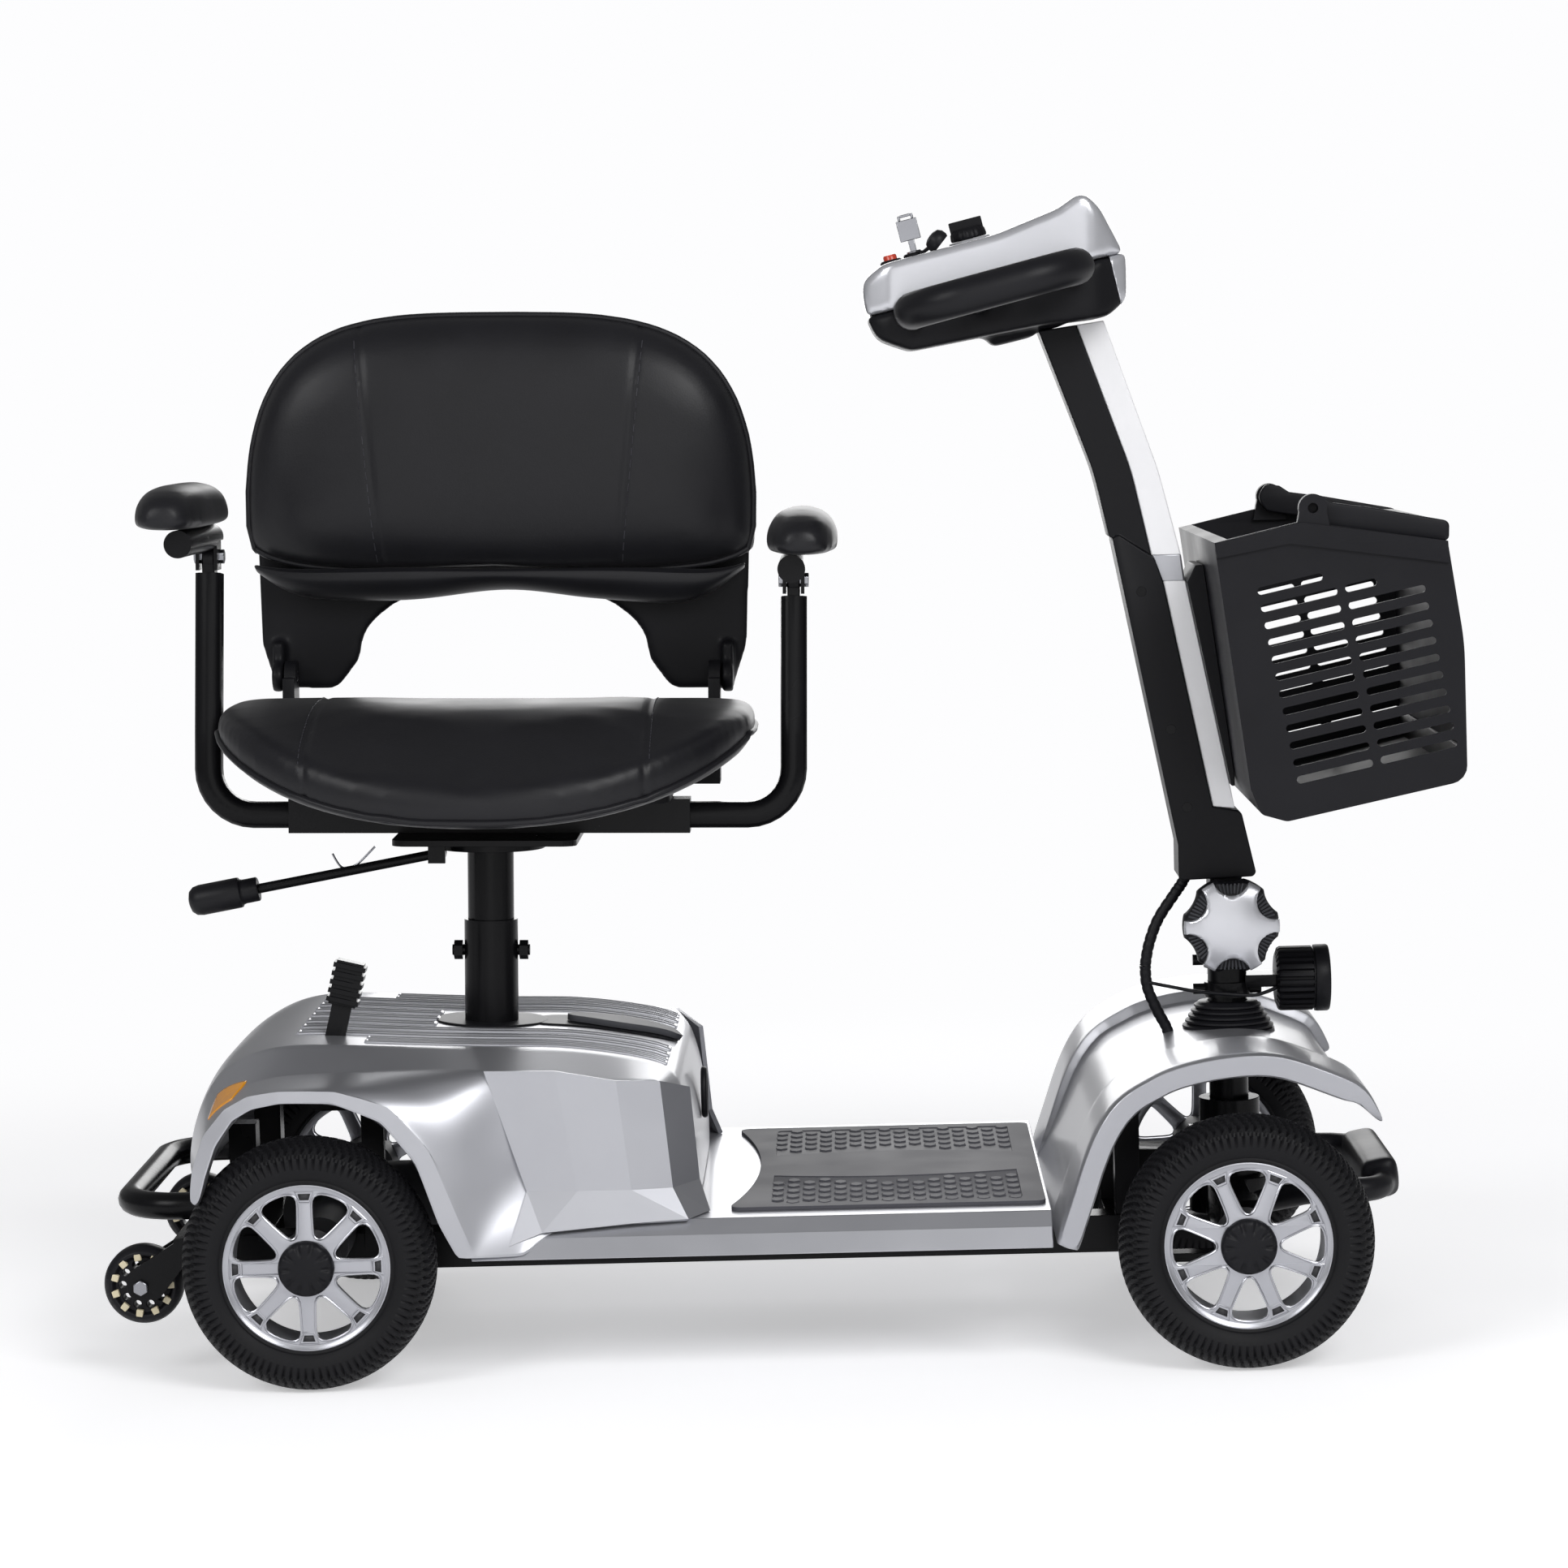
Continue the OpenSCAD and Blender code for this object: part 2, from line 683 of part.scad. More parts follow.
// Steering knuckle: clevis round the beam's eye, stub axle outwards, arm backwards
module knuckle(side) {
    plate = 7;
    low = -eye_h / 2 - gap - plate;
    web = eye_r + 3;
    color("#2a2a2c")
        translate([front_x, side * kingpin_half, beam_z]) {
            translate([0, 0, low])
                cylinder(d = 12, h = eye_h + 2 * gap + 2 * plate);
            for (z = [low, eye_h / 2 + gap])
                translate([0, 0, z])
                    linear_extrude(plate)
                        union() {
                            circle(r = eye_r);
                            polygon([[-eye_r, 0], [eye_r, 0], [eye_r, side * (web + 8)],
                                [-eye_r, side * (web + 8)]]);
                        }
            box([-eye_r, min(side * web, side * (web + 8)), low],
                [eye_r, max(side * web, side * (web + 8)), -low]);
            stub = wheel_y + 12 - kingpin_half;
            bar_y(axle_d, min(side * (web + 4), side * stub), max(side * (web + 4), side * stub));
            difference() {
                box([-steer_arm - 10, -10, low], [0, 10, low + plate]);
                translate([-steer_arm, 0, low - 1])
                    cylinder(d = 8 + 2 * run_fit, h = plate + 2);
            }
        }
}

module knuckle_left() knuckle(1);
module knuckle_right() knuckle(-1);

// Tie rod with its three pins, parallel to the axle
module tie_rod() {
    z = beam_z - eye_h / 2 - gap - 7 - gap;
    x = front_x - steer_arm;
    color("#8c8d92")
        translate([x, 0, z]) {
            box([-9, -kingpin_half - 9, -8], [9, kingpin_half + 9, 0]);
            box([-9, -14, -8], [steer_lead + 11, 14, 0]);
            for (s = [-1, 1])
                translate([0, s * kingpin_half, -1])
                    cylinder(d = 8, h = 9);
            translate([steer_lead, 0, -1])
                cylinder(d = 8, h = 9);
        }
}

// Anti-tip wheels
tip_x = rear_x - 139;
tip_z = 76;
tip_bar_x = rear_x - tyre_d / 2 - 2;

module anti_tip_arms() {
    bar_low = wheel_z - 2;
    bar_high = wheel_z + 14;
    reach = tip_track / 2 + 18;
    color("#1d1d1f") {
        for (s = [-1, 1]) {
            side_extrude(s * tip_track / 2 - 18, s * tip_track / 2 - 14)
                arm_plate();
            side_extrude(s * tip_track / 2 + 14, s * tip_track / 2 + 18)
                arm_plate();
            translate([tip_x, s * tip_track / 2, tip_z])
                bar_y(8, -22, 22);
        }
        // Cross bar behind the tyres, on two tongues of the frame's rails
        box([tip_bar_x - 10, -reach, bar_low], [tip_bar_x, reach, bar_high]);
        for (s = [-1, 1])
            box([tip_bar_x - 8, s * rail_half - 12, bar_low], [rear_x - 78, s * rail_half + 12, bar_high]);
    }
}

module arm_plate() {
    polygon(rounded([[tip_x - 11, tip_z - 10, 8], [tip_x + 14, tip_z - 10, 6], [tip_bar_x - 1, wheel_z - 6, 4],
        [tip_bar_x - 1, wheel_z + 16, 4], [tip_x - 11, tip_z + 11, 8]]));
}

module tip_wheel(side) {
    edge = tip_wheel_d / 2;
    half = 11.5;
    color("#2b2b2d")
        translate([tip_x, side * tip_track / 2, tip_z])
            rotate([-90 * side, 0, 0])
                difference() {
                    rotate_extrude()
                        polygon([[4 + run_fit, -half], [9, -half], [11, -7], [22, -7], [24, -half],
                            [edge - 5, -half], [edge - 1.5, -half + 3], [edge, -half + 7], [edge, half - 7],
                            [edge - 1.5, half - 3], [edge - 5, half], [24, half], [22, 7], [11, 7], [9, half],
                            [4 + run_fit, half]]);
                    for (i = [0:9])
                        rotate(36 * i)
                            translate([16.5, 0, -10])
                                cylinder(d = 6, h = 20);
                }
}

module anti_tip_wheel_left() tip_wheel(1);
module anti_tip_wheel_right() tip_wheel(-1);

// Steering column with pitman arm below and tilt yoke on top
yoke_in = 21;
yoke_t = 6;
knob_bolt_d = 12;

module steering_column() {
    low = beam_z - eye_h / 2 - gap - 7;
    color("#1f1f21") {
        translate([steer_x, 0, low])
            cylinder(d = column_d, h = tilt_z - 34 - low);
        difference() {
            translate([steer_x, 0, low])
                box([-steer_arm - 10, -12, 0], [0, 12, 7]);
            translate([steer_x - steer_arm, 0, low - 1])
                cylinder(d = 8 + 2 * run_fit, h = 10);
        }
        // Clamp collars with cross bolts
        for (z = [tilt_z - 64, tilt_z - 40])
            translate([steer_x, 0, z]) {
                cylinder(d = column_d + 6, h = 12);
                translate([0, 0, 6])
                    bar_x(9, -28, 28);
            }
        difference() {
            union() {
                translate([steer_x, 0, tilt_z - 34])
                    box([-17, -yoke_in - yoke_t, 0], [17, yoke_in + yoke_t, 8]);
                for (s = [-1, 1])
                    translate([steer_x, s * (yoke_in + yoke_t / 2), 0]) {
                        box([-17, -yoke_t / 2, tilt_z - 34], [17, yoke_t / 2, tilt_z]);
                        translate([0, 0, tilt_z])
                            bar_y(34, -yoke_t / 2, yoke_t / 2);
                    }
            }
            translate([steer_x, 0, tilt_z])
                bar_y(knob_bolt_d + 2 * run_fit, -60, 60);
        }
        // Bracket of the headlight
        translate([steer_x, 0, tilt_z - 56])
            box([column_d / 2 - 2, -14, 0], [lamp_x - steer_x, 14, 10]);
    }
}

module steering_boot() {
    base = front_top_z - front_drop - 5;
    folds = 3;
    bore = column_d / 2 + 0.4;
    color("#19191a")
        difference() {
            translate([steer_x, 0, base])
                rotate_extrude()
                    polygon(concat([[bore, 0], [38, 0], [38, 8]],
                        [for (i = [0:folds - 1])
                            each [[34 - 4 * i, 8 + 4 * i], [36 - 4 * i, 10 + 4 * i], [31 - 4 * i, 12 + 4 * i]]],
                        [[bore, 8 + 4 * folds]]));
            side_extrude(-50, 50)
                polygon(concat(arch_line(0, front_drop), [[front_x + 100, 0], [deck_front_x + 30, 0]]));
        }
}

// Headlight: finned body with a round lens in front
lamp_x = front_x + 46;
lamp_len = 44;
lamp_z = tilt_z - 51;

module headlight_body() {
    fins = 16;
    color("#1a1a1b")
        translate([lamp_x, 0, lamp_z])
            difference() {
                union() {
                    bar_x(lamp_d - 8, 0, 30);
                    translate([4, 0, 0])
                        rotate([0, 90, 0])
                            for (i = [0:fins - 1])
                                rotate(360 / fins * i)
                                    box([lamp_d / 2 - 8, -1.6, 0], [lamp_d / 2, 1.6, 28]);
                    bar_x(lamp_d, 30, lamp_len);
                }
                bar_x(lamp_d - 7, lamp_len - 8, lamp_len + 1);
            }
}

module headlight_lens() {
    color("#dfe6ea")
        translate([lamp_x, 0, lamp_z])
            rotate([0, 90, 0])
                translate([0, 0, lamp_len - 8])
                    cylinder(d = lamp_d - 7.2, h = 6);
}

// Wiring harness from the tiller foot into the front cover, and the headlight's lead
harness_route = [[331, 0, 358], [323, -2, 347], [310, -4, 328], [302, -6, 308], [298, -6, 290], [300, -5, 272],
    [308, -3, 252], [316, 0, 236], [318, 0, 222]];
lead_route = [[302, -8, 276], [320, -16, 273], [340, -25, 270], [362, -28, 268], [384, -26, 266], [397, -21, 268],
    [405.2, -17, 271]];

module harness() {
    on_tiller() color("#141415") {
        cable(spline(harness_route, 3), 9, 10);
        cable(spline(lead_route, 2), 3, 8);
    }
}

// Star knob that clamps the tilt joint, on its bolt
module tilt_knob() {
    lobes = 6;
    face = -yoke_in - yoke_t - gap;
    color("#202022")
        translate([steer_x, 0, tilt_z]) {
            bar_y(knob_bolt_d, face - 8, yoke_in + yoke_t + 4);
            translate([0, yoke_in + yoke_t + gap, 0])
                bar_y(20, 0, 8);
            bar_y(34, face - 8, face);
            difference() {
                bar_y(78, face - 30, face - 8);
                for (i = [0:lobes - 1])
                    rotate([0, 60 * i + 30, 0])
                        translate([42, 0, 0])
                            bar_y(20, face - 31, face - 7);
            }
        }
    color("#c9cacf")
        translate([steer_x, face - 30, tilt_z])
            rotate([90, 0, 0])
                star_cap(lobes);
}

module star_cap(lobes) {
    difference() {
        rotate_extrude()
            polygon([[0, 0], [36, 0], [34, 4], [24, 8], [0, 9]]);
        for (i = [0:lobes - 1])
            rotate(60 * i + 30)
                translate([42, 0, -1])
                    cylinder(d = 26, h = 12);
    }
}

// The tiller group is drawn round this place of the tilt pivot in the side view
tiller_ref = [366, 327];
module on_tiller() {
    translate([steer_x - tiller_ref.x, 0, tilt_z - tiller_ref.y])
        children();
}

// Tiller: rear edge, border between the black cover and the trim, and front edge, all in the side view
rear_edge = [[221, 812, 0], [263, 698, 200], [275, 644, 0], [293, 559, 0], [326, 391, 0]];
trim_edge = [[252, 816.1, 0], [294, 697, 200], [309, 628, 0], [318, 607, 0], [355, 422, 0]];
front_edge = [[274, 819, 0], [316, 697, 200], [333, 628, 0], [336, 607, 0], [373, 420, 0]];
function back(line) = [for (i = [len(line) - 1:-1:0]) line[i]];
function part(line, a, b) = [for (i = [a:b]) line[i]];

module tiller_post() {
    on_tiller() color("#1c1c1e") {
        side_extrude(-post_half + 3, post_half - 3)
            polygon(rounded(concat(part(rear_edge, 0, 2), back(part(trim_edge, 0, 2)))));
        side_extrude(-post_half, post_half)
            polygon(rounded(concat([[276, 650, 4]], part(rear_edge, 3, 4), back(part(trim_edge, 3, 4)),
                [[311, 626, 0]])));
        // Foot with its front flap, and the lug on the tilt bolt
        side_extrude(-post_half, post_half)
            polygon(rounded([[326, 393, 0], [326, 362, 4], [390, 364, 4], [378, 418, 6], [355, 422, 0]]));
        translate([tiller_ref.x, 0, tiller_ref.y])
            difference() {
                union() {
                    bar_y(32, -yoke_in + gap, yoke_in - gap);
                    box([-14, -yoke_in + gap, 0], [12, yoke_in - gap, 40]);
                }
                bar_y(knob_bolt_d + 2 * run_fit, -60, 60);
            }
    }
}

module tiller_trim() {
    on_tiller() color("#d9dadd") {
        side_extrude(-post_half + 5, post_half - 5)
            polygon(rounded(concat(part(trim_edge, 0, 2), back(part(front_edge, 0, 2)))));
        side_extrude(-post_half + 2, post_half - 2)
            polygon(rounded(concat(part(trim_edge, 3, 4), back(part(front_edge, 3, 4)))));
    }
}

// Console shells, split at a seam that rises to the front
console_low = [[82, 826, 0], [90, 808, 14], [117, 798, 10], [222, 816, 0], [274, 821, 10], [290, 834, 12],
    [290, 872, 0]];
console_top = [[82, 826, 0], [78, 854, 14], [96, 868, 10], [186, 889, 60], [236, 908, 20], [256, 922, 8],
    [270, 908, 10], [289, 872, 0]];

module console_plan() {
    translate([0, 0, 700])
        linear_extrude(300)
            polygon(rounded([[70, -console_half + 14, 16], [100, -console_half, 20], [264, -console_half, 20],
                [300, -console_half + 20, 20], [300, console_half - 20, 20], [264, console_half, 20],
                [100, console_half, 20], [70, console_half - 14, 16]]));
}

throttle_x = 172;
throttle_z = 834;

module console_lower() {
    on_tiller() color("#1b1b1d")
        difference() {
            union() {
                intersection() {
                    side_extrude(-console_half, console_half)
                        polygon(rounded(console_low));
                    console_plan();
                }
                // Joint block under the shell
                side_extrude(-24, 24)
                    polygon([[180, 805], [184, 800], [220, 808], [240, 806], [240, 822], [180, 814]]);
            }
            translate([throttle_x, 0, throttle_z])
                bar_y(8 + 2 * run_fit, -console_half - 1, console_half + 1);
            side_extrude(-post_half - 1, post_half + 1)
                polygon([[219, 811.8], [276, 819.3], [276, 700], [219, 700]]);
        }
}

module console_upper() {
    on_tiller() color("#c2c3c8")
        difference() {
            intersection() {
                side_extrude(-console_half, console_half)
                    polygon(rounded(console_top));
                console_plan();
            }
            on_console(key_u)
                translate([0, 0, -12])
                    cylinder(d = 12 + 2 * run_fit, h = 40);
            on_console(button_u)
                translate([0, 0, -12])
                    cylinder(d = 13, h = 40);
            on_console(dial_u)
                translate([0, 0, -14])
                    cylinder(d = 6 + 2 * run_fit, h = 40);
        }
}

// A place on the console's top, at distance u in front of its rear top edge
key_u = 28;
button_u = 8;
dial_u = 74;
module on_console(u) {
    translate([96, 0, 868.5])
        rotate([0, -console_tilt + 1.4, 0])
            translate([u, 0, 0])
                children();
}

module grip(side) {
    rear = [118, 0, 829];
    front = [246, 0, 860];
    root_y = side * console_half;
    far_y = side * (grip_half - grip_d / 2);
    on_tiller() color("#19191b")
        run([rear + [0, root_y, 0], rear + [0, far_y, 0], front + [0, far_y, 0], front + [0, root_y, 0]],
            grip_d, 44);
}

module grip_left() grip(1);
module grip_right() grip(-1);

// Throttle paddles on one cross shaft, inside the loop grips
module throttle_paddles() {
    on_tiller() color("#232325")
        translate([throttle_x, 0, throttle_z]) {
            bar_y(8, -console_half - 30, console_half + 30);
            for (s = [-1, 1])
                translate([0, s * (console_half + 18), 0])
                    rotate([0, -console_tilt, 0])
                        side_extrude(-13, 13)
                            polygon(rounded([[-6, -7, 3], [8, -6, 3], [34, -1, 2], [34, 4, 2], [-6, 7, 3]]));
        }
}

module ignition_key() {
    on_tiller() color("#b9bac0")
        on_console(key_u) {
            translate([0, 0, -10])
                cylinder(d = 12, h = 16);
            translate([0, 0, 6])
                box([-1.2, -4, 0], [1.2, 4, 8]);
            translate([0, 0, 14])
                box([-1.6, -10, 0], [1.6, 10, 20]);
        }
}

module horn_button() {
    on_tiller() color("#c2452d")
        on_console(button_u)
            translate([0, 0, -6])
                cylinder(d = 12.8, h = 13);
}

module speed_dial() {
    on_tiller() color("#1c1c1e")
        on_console(dial_u) {
            translate([0, 0, -12])
                cylinder(d = 6, h = 16);
            translate([0, 0, 3])
                cylinder(d = 22, h = 4);
            translate([0, 0, 7])
                cylinder(d = 30, h = 12);
        }
}

// Basket with slotted sides, its bracket and its folding handle
basket_side = [[347, 643, 0], [415, 658, 30], [528, 640, 0], [540, 560, 200], [541, 453, 14],
    [400, 424, 10], [380, 430, 6], [372, 450, 0]];
pivot_x = 424;
pivot_z = 668;
handle_t = 8;

module basket_bracket() {
    on_tiller() color("#1b1b1c")
        side_extrude(-42, 42)
            polygon([[336.3, 606], [343, 620], [349.9, 620], [371.7, 452], [372, 440], [369.1, 440]]);
}

module basket() {
    step_x = (400 - 372) / (slot_rows - 1);
    step_z = (456 - 604) / (slot_rows - 1);
    on_tiller() color("#202021")
        difference() {
            union() {
                difference() {
                    side_extrude(-basket_half, basket_half)
                        polygon(rounded(basket_side));
                    side_extrude(-basket_half + basket_wall, basket_half - basket_wall)
                        polygon([[347 + basket_wall, 700], [528 - basket_wall, 700],
                            [536 - basket_wall, 560], [537 - basket_wall, 461],
                            [404, 430], [376 + basket_wall, 452]]);
                }
                // Rim band and handle ears
                for (s = [-1, 1]) {
                    side_extrude(s * basket_half - 3, s * basket_half + 3)
                        polygon([[347, 643], [415, 657], [528, 640], [529, 623], [405, 641], [349, 631]]);
                    translate([pivot_x, s * (basket_half - 5), pivot_z])
                        bar_y(22, -5, 5);
                    side_extrude(s * (basket_half - 5) - 5, s * (basket_half - 5) + 5)
                        polygon([[pivot_x - 14, 648], [pivot_x + 14, 648], [pivot_x + 10, pivot_z],
                            [pivot_x - 10, pivot_z]]);
                }
            }
            // Two slots in each row, the upper rows cut short below the sloping rim
            for (i = [0:slot_rows - 1])
                translate([372 + 8 + step_x * i, 0, 604 + step_z * i])
                    rotate([0, -12, 0]) {
                        slot(i == 0 ? 52 : 61, 0);
                        if (i > 0)
                            slot(i == 1 ? 25 : 61, 67);
                    }
            for (s = [-1, 1])
                translate([pivot_x, s * (basket_half - 5), pivot_z])
                    bar_y(8 + 2 * run_fit, -12, 12);
        }
}

// One through slot of the given length
module slot(len, from) {
    side_extrude(-basket_half - 5, basket_half + 5)
        polygon(rounded([[from, -slot_h / 2, slot_h / 2 - 0.1], [from + len, -slot_h / 2, slot_h / 2 - 0.1],
            [from + len, slot_h / 2, slot_h / 2 - 0.1], [from, slot_h / 2, slot_h / 2 - 0.1]]));
}

module basket_handle() {
    in_y = basket_half - 11;
    on_tiller() color("#1b1b1c")
        for (s = [-1, 1]) {
            side_extrude(min(s * in_y, s * (in_y - handle_t)), max(s * in_y, s * (in_y - handle_t)))
                polygon(rounded([[pivot_x - 12, pivot_z - 10, 8], [pivot_x + 12, pivot_z - 14, 8],
                    [528, 644, 4], [531, 660, 5], [pivot_x + 4, pivot_z + 13, 10], [pivot_x - 12, pivot_z + 10, 8]]));
            translate([pivot_x, 0, pivot_z])
                bar_y(8, min(s * (in_y - 3), s * (in_y + 10)), max(s * (in_y - 3), s * (in_y + 10)));
        }
    on_tiller() color("#1b1b1c")
        side_extrude(-in_y + 3, in_y - 3)
            polygon(rounded([[500, 653, 4], [526, 647, 3], [528, 657, 3], [502, 665, 4]]));
}

// Seat group: its own upright axis leans with the post, the sitter faces -Y
module in_seat() {
    translate([post_x, 0, post_base_z])
        rotate([0, post_rake, 0])
            children();
}

module post_sleeve() {
    low = rail_z - post_base_z;
    color("#1f1f21")
        in_seat() {
            difference() {
                translate([0, 0, low])
                    cylinder(r = sleeve_r, h = sleeve_top - low);
                translate([0, 0, low - 1])
                    cylinder(d = seat_post_d + 2 * run_fit, h = sleeve_top - low + 2);
            }
            for (s = [-1, 1])
                translate([0, 0, 57]) {
                    bar_x(9, min(s * (sleeve_r - 1.5), s * 32), max(s * (sleeve_r - 1.5), s * 32));
                    translate([s * 27, 0, 0])
                        rotate([0, 90, 0])
                            cylinder(d = 16, h = 7, center = true, $fn = 6);
                }
        }
}

module seat_post() {
    color("#202022")
        in_seat()
            union() {
                translate([0, 0, -60])
                    cylinder(d = seat_post_d, h = post_top + 60);
                translate([0, 0, post_top - 8])
                    cylinder(d = 90, h = 8 - gap);
            }
}

// Swivel plate that turns on the post, with the square receiver of the arm tubes
receiver_half = 165;
lever_pivot = [-40, -40, 141];
module swivel_plate() {
    color("#1d1d1f")
        in_seat()
            difference() {
                union() {
                    translate([0, 0, post_top])
                        linear_extrude(plate_t)
                            polygon(rounded([[-75, -75, 12], [75, -75, 12], [75, 75, 12], [-75, 75, 12]]));
                    box([-receiver_half, -receiver_h / 2, post_top + plate_t],
                        [receiver_half, receiver_h / 2, post_top + plate_t + receiver_h]);
                    // Ear and pin of the swivel lever
                    translate(lever_pivot) {
                        box([-7, -12, -7], [7, -6.5, post_top + 1 - lever_pivot.z]);
                        bar_y(6, -12, 6);
                    }
                }
                translate([0, 0, receiver_z])
                    bar_x(arm_d + 2 * run_fit, -receiver_half - 1, receiver_half + 1);
            }
}

// Lever that frees the swivel, with a moulded grip
module swivel_lever() {
    tip = [-218, -40, 106];
    a = unit(tip - lever_pivot);
    color("#19191b")
        in_seat() {
            difference() {
                union() {
                    along(lever_pivot, a)
                        cylinder(d = 8, h = norm(tip - lever_pivot) - 20);
                    translate(lever_pivot)
                        bar_y(14, -6, 6);
                }
                translate(lever_pivot)
                    bar_y(6 + 2 * run_fit, -7, 7);
            }
            along(tip - a * 32, a)
                rotate_extrude()
                    polygon([[0, 0], [9, 0], [10, 4], [10, 12], [12, 16], [12.5, 48], [10, 54], [5, 57], [0, 58]]);
        }
}

// Seat pan, hinge blocks and cushion
function seat_front(s) = 205 * pow(1 - pow(abs(s), 2.6), 1 / 2.6);
function seat_rear(s) = 118 * pow(1 - pow(abs(s), 5), 1 / 5);
function seat_drop(s, f) = 26 * pow(max(0, f / 205), 2) * (1 - s * s) - 26 * pow(abs(s), 4);

seat_stations = [for (i = [-12:12]) 0.995 * sin(7.5 * i)];
function seat_ring(s, n) =
    let (front = max(seat_front(s), 8), rear = max(seat_rear(s), 8), mid = (front - rear) / 2)
    let (half = (front + rear) / 2, t = seat_t / 2 * pow(1 - pow(abs(s), 6), 0.5) + 3)
    [for (j = [0:n - 1])
        let (a = 360 * j / n, c = cos(a), q = sin(a), f = mid + half * sign(c) * pow(abs(c), 0.7))
        let (up = t * sign(q) * pow(abs(q), q > 0 ? 0.6 : 0.35))
        [s * seat_half, -f, pan_z + 40 - seat_drop(s, f) + up]];

module seat_cushion() {
    color("#1d1d20")
        in_seat()
            difference() {
                skin([for (s = seat_stations) seat_ring(s, 28)]);
                box([-300, -300, 0], [300, 300, pan_z - 25]);
                box([-152, -60, 0], [152, 90, pan_z + 8]);
            }
}

module seat_pan() {
    color("#222224")
        in_seat() {
            translate([0, 0, pan_z])
                linear_extrude(8)
                    polygon(rounded([[-150, -58, 14], [150, -58, 14], [150, 88, 14], [-150, 88, 14]]));
            for (s = [-1, 1]) {
                box([min(s * 120, s * 150), 70, pan_z], [max(s * 120, s * 150), 136, pan_z + 8]);
                side_block(s);
            }
        }
}

// Upright block on the pan that carries the backrest hinge
module side_block(s) {
    low = s * 176;
    high = s * 186;
    difference() {
        union() {
            box([min(s * 120, high), 126, pan_z], [max(s * 120, high), 136, pan_z + 20]);
            box([min(low, high), 126, pan_z], [max(low, high), 162, hinge_up]);
            translate([0, hinge_y, hinge_up])
                bar_x(28, min(low, high), max(low, high));
        }
        translate([0, hinge_y, hinge_up])
            bar_x(10 + 2 * run_fit, min(low, high) - 1, max(low, high) + 1);
    }
}

// Backrest: moulded shell with two side arms round an open arch, and its cushion
back_low = 362;
shell_t = 8;
shell_y = hinge_y + 24;
back_top = 583;
function back_edge(s) = back_low + (back_top - back_low) * pow(1 - pow(abs(s), 3.65), 1 / 3.4);

module backrest_shell() {
    color("#202022")
        in_seat() {
            translate([0, shell_y, 0])
                rotate([90, 0, 0])
                    linear_extrude(shell_t)
                        difference() {
                            polygon(rounded([[-208, 300, 10], [-back_half + 6, 420, 60], [-190, 555, 80],
                                [0, 578, 300], [190, 555, 80], [back_half - 6, 420, 60], [208, 300, 10],
                                [196, 262, 12], [144, 262, 14], [124, 288, 25], [122, 312, 40], [88, 341, 60],
                                [0, 348, 300], [-88, 341, 60], [-122, 312, 40], [-124, 288, 25], [-144, 262, 14],
                                [-196, 262, 12]]));
                        }
            // Hinge cheeks outside the seat's blocks, each with its pin
            for (s = [-1, 1]) {
                difference() {
                    union() {
                        box([min(s * 187, s * 197), hinge_y, hinge_up - 12],
                            [max(s * 187, s * 197), shell_y, hinge_up + 30]);
                        translate([0, hinge_y, hinge_up])
                            bar_x(26, min(s * 187, s * 197), max(s * 187, s * 197));
                    }
                }
                translate([0, hinge_y, hinge_up])
                    bar_x(10, min(s * 174, s * 190), max(s * 174, s * 190));
            }
        }
}

back_stations = [for (i = [-12:12]) 0.995 * sin(7.5 * i)];
function back_ring(s, n) =
    let (low = back_low + 18 * pow(abs(s), 6), high = max(back_edge(s), low + 30), mid = (low + high) / 2)
    let (half = (high - low) / 2, t = back_t * pow(1 - pow(abs(s), 6), 0.4) + 6)
    [for (j = [0:n - 1])
        let (a = 360 * j / n, c = cos(a), q = sin(a), z = mid + half * sign(c) * pow(abs(c), 0.6))
        let (out = q > 0 ? t * pow(q, 0.7) : -3 * pow(-q, 0.7))
        [s * back_half, shell_y - shell_t - 3 - run_fit - out, z]];

module back_cushion() {
    color("#1d1d20")
        in_seat()
            skin([for (s = back_stations) back_ring(s, 28)]);
}

// Arm rests: bent tube in the receiver, bar with yoke that flips up, and pad
flip_y = 22;
bar_front = -150;
bar_rear = flip_y + 13;

module arm_tube(side, x, top) {
    color("#1b1b1d")
        in_seat()
            difference() {
                union() {
                    run([[side * 40, 0, receiver_z], [side * x, 0, receiver_z], [side * x, 0, top - 74],
                        [side * x, flip_y, top - 44], [side * x, flip_y, top - 18]], arm_d - 2 * run_fit, 34);
                    translate([side * x, flip_y, top])
                        bar_x(arm_d, -5, 5);
                    translate([side * x, flip_y, top - 19])
                        box([-5, -9, 0], [5, 9, 17]);
                }
                translate([side * x, flip_y, top])
                    bar_x(8 + 2 * run_fit, -8, 8);
            }
}

module arm_bar(side, x, top) {
    color("#1b1b1d")
        in_seat()
            translate([side * x, 0, top]) {
                for (s = [-1, 1])
                    difference() {
                        side_extrude(flip_y - 12, flip_y + 12)
                            polygon([[s * 6, -11], [s * 9, -11], [s * 9, 14], [s * 6, 14]]);
                        translate([0, flip_y, 0])
                            bar_x(3, -30, 30);
                    }
                translate([0, flip_y, 0])
                    bar_x(8, -10, 10);
                box([-9, flip_y - 12, 13.5], [9, flip_y + 12, 17]);
                translate([0, 0, 16])
                    difference() {
                        bar_y(arm_d, bar_front, bar_rear);
                        box([-30, flip_y - 13, -30], [30, flip_y + 13, -2.5]);
                    }
            }
}

